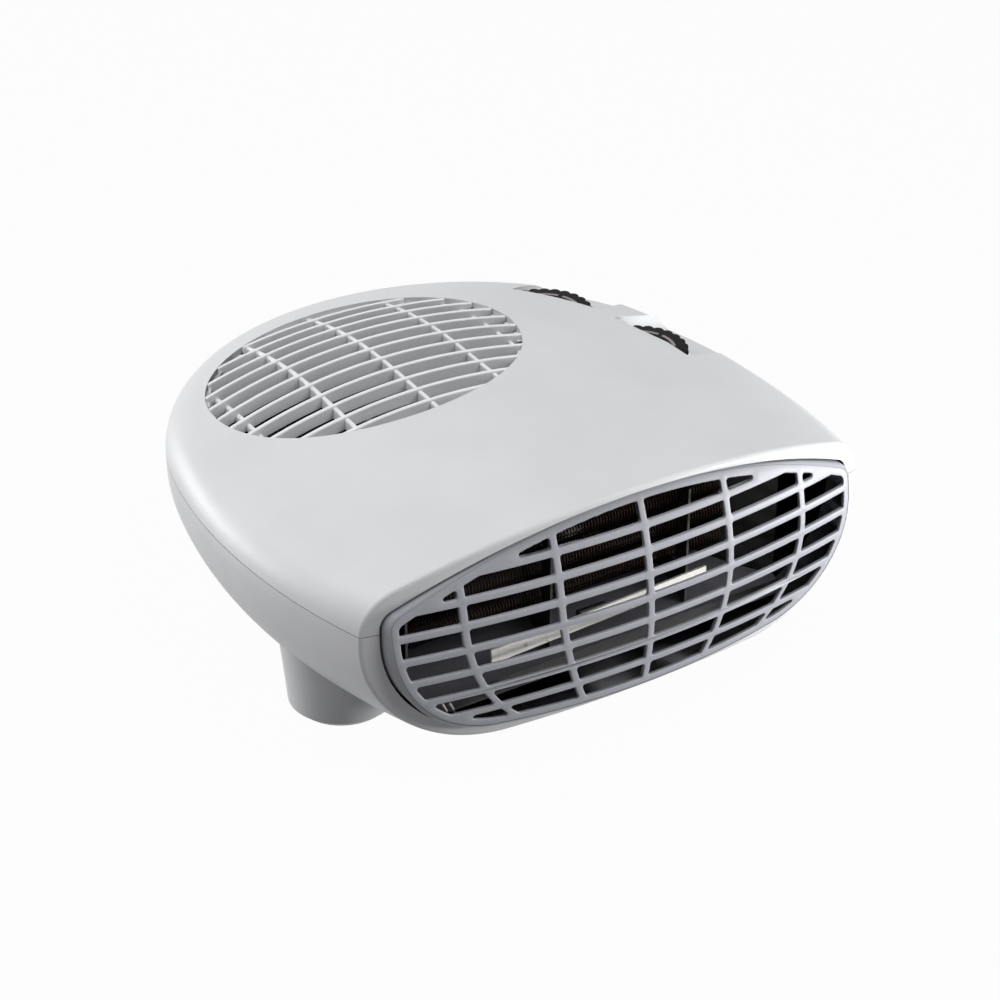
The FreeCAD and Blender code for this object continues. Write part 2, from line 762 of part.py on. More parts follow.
def make_inlet_grille():
    """Thin slats level with the crown, tied by cross ribs and a flange under the housing."""
    def crown_layer(outer, inner):
        return crown_solid(outer).cut(crown_solid(inner))

    height = S.crown_z + S.wall
    reach = S.inlet_half_length
    bars = []
    for index in range(int(S.inlet_slat_count)):
        y = S.inlet_slat_first_y + index * S.inlet_slat_pitch - S.inlet_slat_wall / 2
        bars.append(Part.makeBox(2 * reach, S.inlet_slat_wall, height, V(S.inlet_x - reach, y, 0)))
    low_bars = []
    for x in (-1, 0, 1):
        place = S.inlet_rib_x + x * S.inlet_rib_pitch - S.inlet_rib_wall / 2
        bars.append(Part.makeBox(S.inlet_rib_wall, 2 * reach, height, V(place, S.inlet_y - reach, 0)))
    for side in (-1, 1):
        place = S.inlet_x + side * S.inlet_low_rib_reach - S.inlet_rib_wall / 2
        low_bars.append(Part.makeBox(S.inlet_rib_wall, 2 * reach, height, V(place, S.inlet_y - reach, 0)))
    hole = inlet_prism(S.seam_gap)
    flush = bars[0].fuse(bars[1:]).common(hole).common(crown_layer(0, S.inlet_slat_depth))
    sunk = low_bars[0].fuse(low_bars[1:]).common(hole)
    sunk = sunk.common(crown_layer(S.inlet_low_rib_sink, S.inlet_slat_depth))
    under = S.wall + S.seam_gap
    ring = inlet_prism(-S.inlet_flange).cut(inlet_prism(S.inlet_rib_wall))
    ring = ring.common(crown_layer(under, under + S.inlet_flange_wall))
    return flush.fuse([sunk, ring]).removeSplitter()


# Housings and grilles

blank = housing_blank()
node(solid_feature("UpperHousing", make_upper(blank)), "upper_housing")
node(solid_feature("LowerHousing", make_lower(blank)), "lower_housing")
node(solid_feature("OutletGrille", make_outlet_grille()), "outlet_grille")
node(solid_feature("InletGrille", make_inlet_grille()), "inlet_grille")


# Thumbwheels, their spindles and the two controls under them

def origin_plane(body, role):
    return [feature for feature in body.Origin.OriginFeatures if feature.Role == role][0]


def circle_sketch(body, name, radius, x=None, height=None):
    """A sketch on the body's XY plane that holds one circle, bound to the sheet."""
    sketch = body.newObject("Sketcher::SketchObject", name)
    sketch.AttachmentSupport = (origin_plane(body, "XY_Plane"), [""])
    sketch.MapMode = "FlatFace"
    sketch.addGeometry(Part.Circle(V(1, 0, 0) if x else V(), Z_AXIS, 1), False)
    if x:
        sketch.addConstraint(Sketcher.Constraint("PointOnObject", 0, 3, -1))
        place_at = sketch.addConstraint(Sketcher.Constraint("DistanceX", -1, 1, 0, 3, 1))
        sketch.setExpression("Constraints[%d]" % place_at, bound(x))
    else:
        sketch.addConstraint(Sketcher.Constraint("Coincident", 0, 3, -1, 1))
    size = sketch.addConstraint(Sketcher.Constraint("Radius", 0, 1))
    sketch.setExpression("Constraints[%d]" % size, bound(radius))
    if height:
        sketch.setExpression("AttachmentOffset.Base.z", bound(height))
    return sketch


def pad(body, name, sketch, length):
    feature = body.newObject("PartDesign::Pad", name)
    feature.Profile = sketch
    bind(feature, Length=length)
    return feature


def pocket(body, name, sketch):
    feature = body.newObject("PartDesign::Pocket", name)
    feature.Profile = sketch
    feature.Type = "ThroughAll"
    feature.Reversed = True
    return feature


def make_wheel(name, label, prefix):
    body = doc.addObject("PartDesign::Body", name)
    disc = circle_sketch(body, name + "Disc", "wheel_radius")
    pad(body, name + "Pad", disc, "wheel_thickness")
    pocket(body, name + "Bore", circle_sketch(body, name + "Hole", "spindle_radius"))
    scallop = circle_sketch(body, name + "Scallop", "scallop_radius", "wheel_radius + scallop_radius / 2")
    groove = pocket(body, name + "Groove", scallop)
    pattern = body.newObject("PartDesign::PolarPattern", name + "Scallops")
    pattern.Originals = [groove]
    pattern.Axis = (disc, ["N_Axis"])
    pattern.Angle = 360
    bind(pattern, Occurrences="wheel_scallops")
    body.Tip = pattern
    place(body, prefix + "_x", prefix + "_y", prefix + "_top_z - wheel_thickness")
    return node(body, label)


def make_control(name, prefix, labels):
    """A switch or thermostat block, its round neck and the spindle that carries the wheel."""
    x = prefix + "_x"
    y = prefix + "_y"
    base = "control_plate_z + control_plate_wall"
    block = box(name + "Block", "control_length", "control_width", "control_height",
                x + " - control_length / 2", y + " - control_width / 2", base)
    neck_z = base + " + control_height"
    neck = cylinder(name + "Neck", "control_neck_radius", "control_neck_height", x, y, neck_z)
    hole = cylinder(name + "Hole", "spindle_radius + spindle_clearance",
                    "control_height + control_neck_height", x, y, base + " + control_floor")
    node(cut(name + "Body", fuse(name + "Solid", [block, neck]), hole), labels[0])
    foot = base + " + control_floor + spindle_clearance"
    spindle = cylinder(name + "Spindle", "spindle_radius", prefix + "_top_z - (" + foot + ")", x, y, foot)
    node(spindle, labels[1])


make_wheel("ThermostatWheel", "thermostat_wheel", "rear_wheel")
make_wheel("SwitchWheel", "switch_wheel", "front_wheel")
make_control("Thermostat", "rear_wheel", ("thermostat_body", "thermostat_spindle"))
make_control("Switch", "front_wheel", ("switch_body", "switch_spindle"))


def fastener(x, y, seat, grip, upward):
    """A screw whose head lies against the seat, with the shank running on from it."""
    head_low = seat - S.screw_head_height if upward else seat
    shank_low = seat if upward else seat - grip
    head = rod(x, y, head_low, head_low + S.screw_head_height, S.screw_head_radius)
    return head.fuse(rod(x, y, shank_low, shank_low + grip, S.screw_radius)).removeSplitter()


def fasteners(name, label, places, upward=False):
    solids = [fastener(x, y, seat, grip, upward).Solids[0] for x, y, seat, grip in places]
    return node(solid_feature(name, Part.makeCompound(solids)), label)


def make_control_plate():
    sheet_box = box("ControlSheet", "control_plate_width", "control_plate_depth", "control_plate_wall",
                    "control_x - control_plate_width / 2", "control_y - control_plate_depth / 2",
                    "control_plate_z")
    holes = []
    for index, side in enumerate(("-", "+")):
        holes.append(cylinder("ControlHole%d" % index, "screw_radius + fit_gap", "control_plate_wall",
                              "control_x " + side + " control_post_reach", "control_y", "control_plate_z"))
    return node(cut("ControlPlate", sheet_box, fuse("ControlHoles", holes)), "control_plate")


make_control_plate()
plate_top = S.control_plate_z + S.control_plate_wall
fasteners("ControlScrews", "control_screws",
          [(x, y, plate_top, S.screw_grip - S.thread_gap) for x, y in control_posts()])
fasteners("HousingScrews", "housing_screws",
          [(x, y, seat, S.screw_grip + S.seat_wall - S.thread_gap) for x, y, seat in screw_places()], True)


# Deck, fan and motor

def duct_space(lift):
    """The space above the deck and the deflector that lies on it, raised by a lift."""
    deck = S.deck_z + S.deck_wall + lift
    lap = deck + S.deflector_wall
    lap_back = S.deck_front_y + S.deflector_lap
    front = S.deflector_front_z + lift
    top = S.crown_z + FRONT_RUN
    corners = [
        (S.rear_y, deck), (lap_back, deck), (lap_back, lap), (S.deck_front_y, lap),
        (S.deflector_front_y, front), (S.deflector_front_y, top), (S.rear_y, top)]
    points = [V(-S.body_half_width, y, z) for y, z in corners]
    face = Part.Face(Part.makePolygon(points + points[:1]))
    return face.extrude(V(2 * S.body_half_width, 0, 0))


def make_deck():
    left = -S.body_half_width
    corner = V(left, S.deck_front_y, S.deck_z)
    plate = Part.makeBox(S.deck_right_x - left, S.rear_y - S.deck_front_y, S.deck_wall, corner)
    plate = plate.common(body_form(S.wall + S.fit_gap))
    bosses = []
    holes = [rod(S.inlet_x, S.inlet_y, 0, S.crown_z, S.bearing_radius + S.deck_wall)]
    for side in (-1, 1):
        x = S.inlet_x + side * S.motor_bolt_x
        bosses.append(rod(x, S.inlet_y, motor_top(), S.deck_z, S.boss_radius))
        holes.append(rod(x, S.inlet_y, 0, S.crown_z, S.motor_bolt_radius + S.thread_gap))
    for x, y in deck_posts():
        holes.append(rod(x, y, S.deck_z, S.crown_z, S.screw_radius + S.fit_gap))
    return plate.fuse(bosses).cut(holes + boss_rooms()).removeSplitter()


def boss_rooms():
    """The room kept free round each of the bosses that hold the two housings together."""
    reach = S.screw_head_radius + S.boss_wall + S.boss_room
    return [rod(x, y, 0, S.crown_z, reach) for x, y, seat in screw_places()]


def motor_top():
    """Height of the top of the upper bearing bracket."""
    return S.stack_z + S.stack_height + S.bracket_offset + S.bracket_wall


def make_impeller():
    """Back disc, hub, forward-curved blades and the ring that ties them."""
    low = S.deck_z + S.deck_wall + S.fan_deck_gap
    disc = rod(0, 0, low, low + S.fan_disc_wall, S.fan_radius)
    hub = rod(0, 0, low, low + S.hub_height, S.hub_radius)
    ring = rod(0, 0, low + S.fan_height - S.fan_disc_wall, low + S.fan_height, S.fan_radius)
    ring = ring.cut(rod(0, 0, low, low + 2 * S.fan_height, S.fan_radius - S.fan_ring_width))
    outer = V(S.fan_radius - S.fan_blade_wall, 0, low)
    inner_radius = S.fan_radius - S.fan_blade_length
    lag = math.radians(S.fan_blade_lag)
    inner = V(inner_radius * math.cos(lag), -inner_radius * math.sin(lag), low)
    chord = outer - inner
    bulge = V(chord.y, -chord.x, 0) * S.fan_blade_bow
    middle = (outer + inner) * 0.5 + bulge
    curve = Part.Wire([arc(inner, middle, outer)])
    strip = curve.makeOffset2D(S.fan_blade_wall / 2, 0, True, True)
    blade = Part.Face(strip) if strip.ShapeType == "Wire" else strip
    blade = blade.extrude(V(0, 0, S.fan_height))
    blades = []
    for index in range(int(S.fan_blades)):
        turned = blade.copy()
        turned.rotate(V(), Z_AXIS, 360 * index / S.fan_blades)
        blades.append(turned)
    fan = disc.fuse([hub, ring] + blades).removeSplitter()
    fan = fan.cut(rod(0, 0, 0, S.crown_z, S.shaft_radius))
    fan.translate(V(S.inlet_x, S.inlet_y, 0))
    return fan


def make_bracket(name, label, upper):
    """A pressed strap across the stack, with two end feet and a bearing boss."""
    reach = "(stack_length - bracket_wall) / 2"
    if upper:
        feet_z = "stack_z + stack_height"
        strap_z = feet_z + " + bracket_offset"
        boss_z = feet_z + " + bracket_offset / 2"
    else:
        feet_z = "stack_z - bracket_offset"
        strap_z = feet_z + " - bracket_wall"
        boss_z = feet_z + " + bracket_offset / 2 - bearing_height"
    front = "inlet_y - bracket_width / 2"
    pieces = [box(name + "Strap", "2 * motor_bolt_x + bracket_width", "bracket_width", "bracket_wall",
                  "inlet_x - motor_bolt_x - bracket_width / 2", front, strap_z)]
    for index, side in enumerate(("-", "+")):
        pieces.append(box(name + "Foot%d" % index, "bracket_width", "bracket_width", "bracket_offset",
                          "inlet_x " + side + " motor_bolt_x - bracket_width / 2", front, feet_z))
    pieces.append(cylinder(name + "Boss", "bearing_radius", "bearing_height", "inlet_x", "inlet_y", boss_z))
    holes = [cylinder(name + "Bore", "shaft_radius + bearing_clearance", "crown_z", "inlet_x", "inlet_y")]
    for index, side in enumerate(("-", "+")):
        holes.append(cylinder(name + "Hole%d" % index, "motor_bolt_radius + thread_gap", "crown_z",
                              "inlet_x " + side + " motor_bolt_x", "inlet_y"))
    return node(cut(name, fuse(name + "Solid", pieces), fuse(name + "Holes", holes)), label)


def make_motor():
    x = "inlet_x"
    y = "inlet_y"
    core = box("StackCore", "stack_length", "stack_depth", "stack_height", "inlet_x - stack_length / 2",
               "inlet_y - stack_front", "stack_z")
    bore = cylinder("StackBore", "rotor_radius + rotor_gap", "stack_height", x, y, "stack_z")
    window = box("StackWindow", "winding_length + 2 * winding_gap", "winding_wall", "stack_height",
                 "inlet_x - winding_length / 2 - winding_gap",
                 "inlet_y - stack_front + stack_depth - core_leg - winding_wall", "stack_z")
    holes = [bore, window]
    for index, side in enumerate(("-", "+")):
        holes.append(cylinder("StackHole%d" % index, "motor_bolt_radius + thread_gap", "stack_height",
                              "inlet_x " + side + " motor_bolt_x", y, "stack_z"))
    node(cut("MotorStack", core, fuse("StackHoles", holes)), "motor_stack")
    outer = box("WindingBlock", "winding_length", "core_leg + 2 * winding_wall - 2 * winding_gap",
                "stack_height + 2 * winding_wall", "inlet_x - winding_length / 2",
                "inlet_y - stack_front + stack_depth - core_leg - winding_wall + winding_gap",
                "stack_z - winding_wall")
    leg = box("WindingCore", "winding_length", "core_leg + 2 * winding_gap", "stack_height + 2 * winding_gap",
              "inlet_x - winding_length / 2",
              "inlet_y - stack_front + stack_depth - core_leg - winding_gap", "stack_z - winding_gap")
    node(cut("MotorWinding", outer, leg), "motor_winding")
    rotor = cylinder("RotorDrum", "rotor_radius", "stack_height", x, y, "stack_z")
    hole = cylinder("RotorHole", "shaft_radius", "stack_height", x, y, "stack_z")
    node(cut("MotorRotor", rotor, hole), "motor_rotor")
    shaft_low = "stack_z - bracket_offset - bearing_height"
    node(cylinder("MotorShaft", "shaft_radius",
                  "deck_z + deck_wall + fan_deck_gap + hub_height - (" + shaft_low + ")", x, y, shaft_low),
         "motor_shaft")
    make_bracket("UpperBracket", "upper_bearing_bracket", True)
    make_bracket("LowerBracket", "lower_bearing_bracket", False)
    bolts = []
    for side in (-1, 1):
        place_x = S.inlet_x + side * S.motor_bolt_x
        seat = S.stack_z - S.bracket_offset - S.bracket_wall
        head = rod(place_x, S.inlet_y, seat - S.screw_head_height, seat, S.screw_head_radius)
        shank = rod(place_x, S.inlet_y, seat, S.deck_z + S.deck_wall, S.motor_bolt_radius)
        bolts.append(head.fuse(shank).removeSplitter().Solids[0])
    node(solid_feature("MotorBolts", Part.makeCompound(bolts)), "motor_bolts")


node(solid_feature("FanDeck", make_deck()), "fan_deck")
deck_top = S.deck_z + S.deck_wall
fasteners("DeckScrews", "deck_screws",
          [(x, y, deck_top, S.screw_grip - S.thread_gap) for x, y in deck_posts()])
node(solid_feature("FanImpeller", make_impeller()), "fan_impeller")
make_motor()


# Scroll, heating element and the parts round it

def grille_zone():
    """The space that the outlet grille's skirt and lugs take up, with clearance."""
    reach = S.body_half_width
    back = S.skirt_back_y + S.fit_gap
    front = S.face_front_y - FRONT_RUN
    block = Part.makeBox(2 * reach, back - front, S.crown_z, V(-reach, front, 0))
    return block.cut(along_y(outlet_face(-S.skirt_wall - S.fit_gap), front, back))


def inlet_zone():
    """The space that the inlet grille and its flange take up, with clearance."""
    return inlet_prism(-S.inlet_flange - S.fit_gap).cut(crown_solid(S.inlet_slat_depth + S.fit_gap))


def make_scroll():
    """An upright wall that opens out round the fan in three arcs and leads to the outlet."""
    turns = ((-45, 45), (45, 135), (135, 180))
    centre = V(S.inlet_x, S.inlet_y, 0)
    radius = S.scroll_start
    edges = []
    joint = None
    for start, end in turns:
        directions = [V(math.cos(math.radians(turn)), math.sin(math.radians(turn)), 0)
                      for turn in (start, (start + end) / 2, end)]
        points = [centre + way * radius for way in directions]
        edges.append(arc(*points))
        joint = joint or points[0]
        centre = centre - directions[2] * S.scroll_growth
        radius = radius + S.scroll_growth
    edges.append(line(points[2], V(points[2].x, S.duct_front_y, 0)))
    flare_end = V(S.duct_right_x, S.duct_front_y, 0)
    chord = joint - flare_end
    sag = chord.Length ** 2 / (8 * S.duct_flare_radius)
    across = V(chord.y, -chord.x, 0) * (1 / chord.Length)
    across = across if across.x < 0 else across * -1
    edges.insert(0, arc(flare_end, (flare_end + joint) * 0.5 + across * sag, joint))
    path = Part.Wire(edges)
    strip = path.makeOffset2D(S.scroll_wall / 2, 0, True, True)
    face = Part.Face(strip) if strip.ShapeType == "Wire" else strip
    wall = face.extrude(V(0, 0, S.crown_z))
    wall = wall.common(duct_space(0)).common(body_form(S.wall + S.fit_gap))
    return wall.cut([inlet_zone(), grille_zone()] + boss_rooms())


def make_deflector():
    """A sheet that lies on the deck's front edge and slopes down to the outlet."""
    top = S.deck_z + S.deck_wall
    back = S.deck_front_y + S.deflector_lap
    upper = [V(0, back, top), V(0, S.deck_front_y, top), V(0, S.deflector_front_y, S.deflector_front_z)]
    lift = V(0, 0, -S.deflector_wall)
    rise = V(0, 0, S.deflector_wall)
    points = [upper[0], upper[1], upper[2] + lift, upper[2], upper[1] + rise, upper[0] + rise]
    face = Part.Face(Part.makePolygon(points + points[:1]))
    face.translate(V(-S.body_half_width, 0, 0))
    sheet_solid = face.extrude(V(S.body_half_width + S.duct_right_x, 0, 0))
    return sheet_solid.common(body_form(S.wall + S.fit_gap)).cut(grille_zone())


def coil_heights():
    return [S.coil_low_z + index * S.coil_pitch_z for index in range(3)]


def comb_places():
    left = S.coil_left_x + S.comb_inset
    right = S.coil_right_x - S.comb_inset
    return [left, (left + right) / 2, right]


def make_combs():
    """Three upright mica plates with a round hole for each coil."""
    back = S.coil_y + S.comb_depth / 2
    front = S.strip_y + S.strip_wall / 2
    reach = S.coil_radius + S.coil_wire_radius + S.comb_gap
    solids = []
    for x in comb_places():
        plate = Part.makeBox(S.comb_wall, back - front, S.comb_top_z, V(x - S.comb_wall / 2, front, 0))
        holes = [Part.makeCylinder(reach, 2 * S.comb_wall, V(x - S.comb_wall, S.coil_y, z), X_AXIS)
                 for z in coil_heights()]
        plate = plate.cut(holes + [grille_zone()])
        plate = plate.common(duct_space(S.comb_gap)).common(body_form(S.wall + S.fit_gap))
        solids.append(plate.Solids[0])
    return Part.makeCompound(solids)


def make_strip():
    length = S.strip_right_x - S.strip_left_x
    corner = V(S.strip_left_x, S.strip_y - S.strip_wall / 2, S.strip_left_z)
    board = Part.makeBox(length, S.strip_wall, S.strip_height, corner)
    board.rotate(V(S.strip_left_x, S.strip_y, S.strip_left_z), Y_AXIS, -S.strip_tilt)
    return board


def biarc(start, start_way, end, end_way):
    """Two arcs that leave one point and reach another along given directions."""
    span = end - start
    ways = start_way + end_way
    slack = 2 * (1 - start_way.dot(end_way))
    reach = (-span.dot(ways) + math.sqrt(span.dot(ways) ** 2 + slack * span.dot(span))) / slack
    knee_a = start + start_way * reach
    knee_b = end - end_way * reach
    middle = (knee_a + knee_b) * 0.5

    def bend(first, knee, last):
        mid = (first + last) * 0.5
        half = (last - first).Length / 2
        turn = math.acos(max(-1, min(1, (knee - first).normalize().dot((last - knee).normalize()))))
        towards = (knee - mid).normalize()
        return arc(first, mid + towards * (half * math.tan(turn / 4)), last)

    return [bend(start, knee_a, middle), bend(middle, knee_b, end)]


def make_coil(z):
    """One open heating coil: straight tails at both ends and an even helix between them."""
    turns = int(S.coil_turns)
    tail = 2 * S.coil_wire_radius
    pitch = (S.coil_right_x - S.coil_left_x - 2 * tail) / turns
    slope = math.atan2(pitch, 2 * math.pi * S.coil_radius)

    def at(angle):
        x = S.coil_left_x + tail + pitch * angle / (2 * math.pi)
        return V(x, S.coil_y + S.coil_radius * math.cos(angle), z + S.coil_radius * math.sin(angle))

    def way(angle):
        round_way = V(0, -math.sin(angle), math.cos(angle)) * math.cos(slope)
        return round_way + V(math.sin(slope), 0, 0)

    start = at(0) - way(0) * tail
    edges = [line(start, at(0))]
    for index in range(2 * turns):
        first = index * math.pi
        last = first + math.pi
        edges.extend(biarc(at(first), way(first), at(last), way(last)))
    end = 2 * math.pi * turns
    edges.append(line(at(end), at(end) + way(end) * tail))
    path = Part.Wire(edges)
    section = wire_section(start, way(0))
    solid = path.makePipeShell([section], True, False)
    fullness = solid.Volume / (Part.Face(section).Area * path.Length)
    least = coil_gap(at)
    print("coil: pitch %.2f, least gap between turns %.2f, volume ratio %.3f" % (pitch, least, fullness))
    return solid


def wire_section(start, way):
    """A six-sided wire section square to the wire."""
    across = way.cross(X_AXIS).normalize()
    up = way.cross(across)
    corners = []
    for index in range(6):
        angle = math.radians(60 * index)
        corners.append(start + (across * math.cos(angle) + up * math.sin(angle)) * S.coil_wire_radius)
    return Part.makePolygon(corners + corners[:1])


def coil_gap(at):
    """Least clear distance between one turn and the next, measured on points."""
    steps = 48
    angles = [2 * math.pi * index / steps for index in range(2 * steps)]
    first = [at(angle) for angle in angles[:steps]]
    gaps = []
    for index, point in enumerate(first):
        later = [at(angle) for angle in angles[index + steps // 2:]]
        gaps.append(min((point - other).Length for other in later))
    return min(gaps) - 2 * S.coil_wire_radius


node(solid_feature("FanScroll", make_scroll()), "fan_scroll")
node(solid_feature("AirDeflector", make_deflector()), "air_deflector")
node(solid_feature("MicaCombs", make_combs()), "mica_combs")
node(solid_feature("MicaStrip", make_strip()), "mica_strip")
for coil_name, height in zip(("low", "middle", "top"), coil_heights()):
    node(solid_feature("HeatingCoil" + coil_name.title(), make_coil(height)), "heating_coil_" + coil_name)


# Safety parts, terminals and cord entry

def make_cutout():
    """A snap-disc cut-out: a can on a fixing flange, set on the deflector's rear edge."""
    seat = "deck_z + deck_wall + deflector_wall"
    x = "cutout_x"
    y = "deck_front_y + deflector_lap / 2"
    can = cylinder("CutoutCan", "cutout_radius", "cutout_height", x, y, seat)
    flange = box("CutoutFlange", "4 * cutout_radius", "deflector_lap", "deflector_wall",
                 "cutout_x - 2 * cutout_radius", "deck_front_y", seat)
    return node(fuse("ThermalCutout", [can, flange]), "thermal_cutout")


def make_fuse():
    """A one-shot thermal fuse laid along the back of the mica strip."""
    y = "strip_y + strip_wall / 2 + fuse_radius + thread_gap"
    z = "strip_left_z + strip_height"
    link = cylinder("FuseBody", "fuse_radius", "fuse_length", "fuse_x", y, z, (Y_AXIS, 90))
    return node(link, "thermal_fuse")


def make_terminals():
    block = box("TerminalBlock", "terminal_length", "terminal_width", "terminal_height",
                "terminal_x - terminal_length / 2", "terminal_y - terminal_width / 2",
                "belly_z + wall + thread_gap")
    holes = []
    for index, shift in enumerate(("- terminal_length / 3", "", "+ terminal_length / 3")):
        holes.append(cylinder("TerminalWay%d" % index, "terminal_hole", "terminal_width",
                              "terminal_x " + shift, "terminal_y + terminal_width / 2",
                              "belly_z + wall + terminal_height / 2", (X_AXIS, 90)))
    return node(cut("Terminals", block, fuse("TerminalWays", holes)), "terminal_block")


def make_gland():
    """The bush in the rear wall where the cord comes in."""
    flange_foot = S.seam_gap
    sleeve = gland_rod(-S.gland_reach, flange_foot, S.gland_radius)
    flange = gland_rod(flange_foot, flange_foot + S.gland_flange_wall, S.gland_flange_radius)
    bore = gland_rod(-2 * S.gland_reach, 2 * S.gland_reach, S.gland_bore)
    return sleeve.fuse(flange).cut(bore).cut(gland_back()).removeSplitter()


def gland_back():
    """The part of the flange's space that the housing wall already fills."""
    sleeve = gland_rod(-S.gland_reach, 2 * S.gland_reach, S.gland_radius)
    return body_form(0).cut([sleeve, body_form(S.wall)])


make_cutout()
make_fuse()
make_terminals()
node(solid_feature("CordGland", make_gland()), "cord_gland")


# Checks and export

doc.recompute()
for obj in doc.Objects:
    if "Invalid" in obj.State or "Error" in obj.State:
        raise RuntimeError("failed object: " + obj.Name)
for obj in NODES:
    if obj.Shape.isNull() or not obj.Shape.isValid():
        raise RuntimeError("bad shape: " + obj.Label)
os.makedirs("parts", exist_ok=True)
for obj in NODES:
    obj.Shape.exportStep("parts/" + obj.Label + ".step")
print(len(NODES), "nodes written")
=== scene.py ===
import math

import bmesh
import bpy
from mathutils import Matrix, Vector


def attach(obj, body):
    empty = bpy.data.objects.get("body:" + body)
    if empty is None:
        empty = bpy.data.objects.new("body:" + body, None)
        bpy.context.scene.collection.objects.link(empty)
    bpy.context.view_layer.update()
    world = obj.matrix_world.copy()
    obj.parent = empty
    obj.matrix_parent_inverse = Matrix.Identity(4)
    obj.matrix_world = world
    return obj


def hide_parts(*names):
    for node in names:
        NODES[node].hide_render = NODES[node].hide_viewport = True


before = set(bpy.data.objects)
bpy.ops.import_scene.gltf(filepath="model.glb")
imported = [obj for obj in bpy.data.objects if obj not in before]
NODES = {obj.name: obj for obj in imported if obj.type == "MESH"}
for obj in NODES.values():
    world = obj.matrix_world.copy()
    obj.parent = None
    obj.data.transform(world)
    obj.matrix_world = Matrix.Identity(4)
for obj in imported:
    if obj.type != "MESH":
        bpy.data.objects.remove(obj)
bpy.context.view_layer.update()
MM = 0.001


# Camera and framing, in millimetres of the heater's own frame

CAMERA_PLACE = Vector((-493.9, -782.3, 566.0)) * MM
CAMERA_TARGET = Vector((-8.9, -35.53, 56.99)) * MM
LENS_MM, SENSOR_MM = 93.6, 36.0
CLIP_NEAR_M, CLIP_FAR_M = 0.05, 20.0


def add_camera():
    data = bpy.data.cameras.new("photo_camera")
    data.lens = LENS_MM
    data.sensor_width = SENSOR_MM
    data.sensor_fit = "HORIZONTAL"
    data.clip_start = CLIP_NEAR_M
    data.clip_end = CLIP_FAR_M
    camera = bpy.data.objects.new("photo_camera", data)
    bpy.context.scene.collection.objects.link(camera)
    camera.location = CAMERA_PLACE
    camera.rotation_euler = (CAMERA_TARGET - CAMERA_PLACE).to_track_quat("-Z", "Y").to_euler()
    bpy.context.scene.camera = camera


# Helpers for colours and shader nodes

# Sockets of the Mix node when it mixes colours
MIX_FACTOR, MIX_FIRST, MIX_SECOND, MIX_RESULT = 0, 6, 7, 2


def linear(colour):
    """An sRGB hex colour as linear RGBA."""
    channels = [int(colour[index:index + 2], 16) / 255 for index in (1, 3, 5)]
    return tuple(c / 12.92 if c <= 0.04045 else ((c + 0.055) / 1.055) ** 2.4 for c in channels) + (1.0,)


def add(tree, kind, inputs=None, stops=(), **settings):
    """Adds a shader node with its properties, its colour stops and its sockets.
    A socket gets a plain value, or a (node, output) pair to link from."""
    node = tree.nodes.new(kind)
    for name, value in settings.items():
        setattr(node, name, value)
    for index, (position, colour) in enumerate(stops):
        node.color_ramp.elements[index].position = position
        node.color_ramp.elements[index].color = colour
    for name, value in (inputs or {}).items():
        if isinstance(value, tuple) and isinstance(value[0], bpy.types.Node):
            source, output = value
            tree.links.new(source.outputs[output], node.inputs[name])
        else:
            node.inputs[name].default_value = value
    return node


def seen_by_eye(tree):
    """One for the rays that the eye sees, straight or by way of gloss or glass."""
    path = add(tree, "ShaderNodeLightPath")
    seen = add(tree, "ShaderNodeMath", {0: (path, "Is Camera Ray"), 1: (path, "Is Glossy Ray")},
               operation="MAXIMUM")
    return add(tree, "ShaderNodeMath", {0: (seen, "Value"), 1: (path, "Is Transmission Ray")},
               operation="MAXIMUM")


def new_material(name):
    material = bpy.data.materials.new(name)
    material.use_nodes = True
    material.node_tree.nodes.clear()
    return material, material.node_tree


def finish_material(tree, shader):
    add(tree, "ShaderNodeOutputMaterial", {"Surface": (shader, "BSDF")})


# Materials

# Painted shade: how far a wall's face points back at the middle of the housing tells its inside from its
# outside, and the inside is painted nearly black.
# Level directions count for less, so that the walls of the openings stay pale.
HOUSING_CENTRE = Vector((0, 0, 48)) * MM
INNER_SHADE_WEIGHTS = (0.3, 0.3, 1.0)
INNER_SHADE_STARTS, INNER_SHADE_FULL = -29.0, -33.0


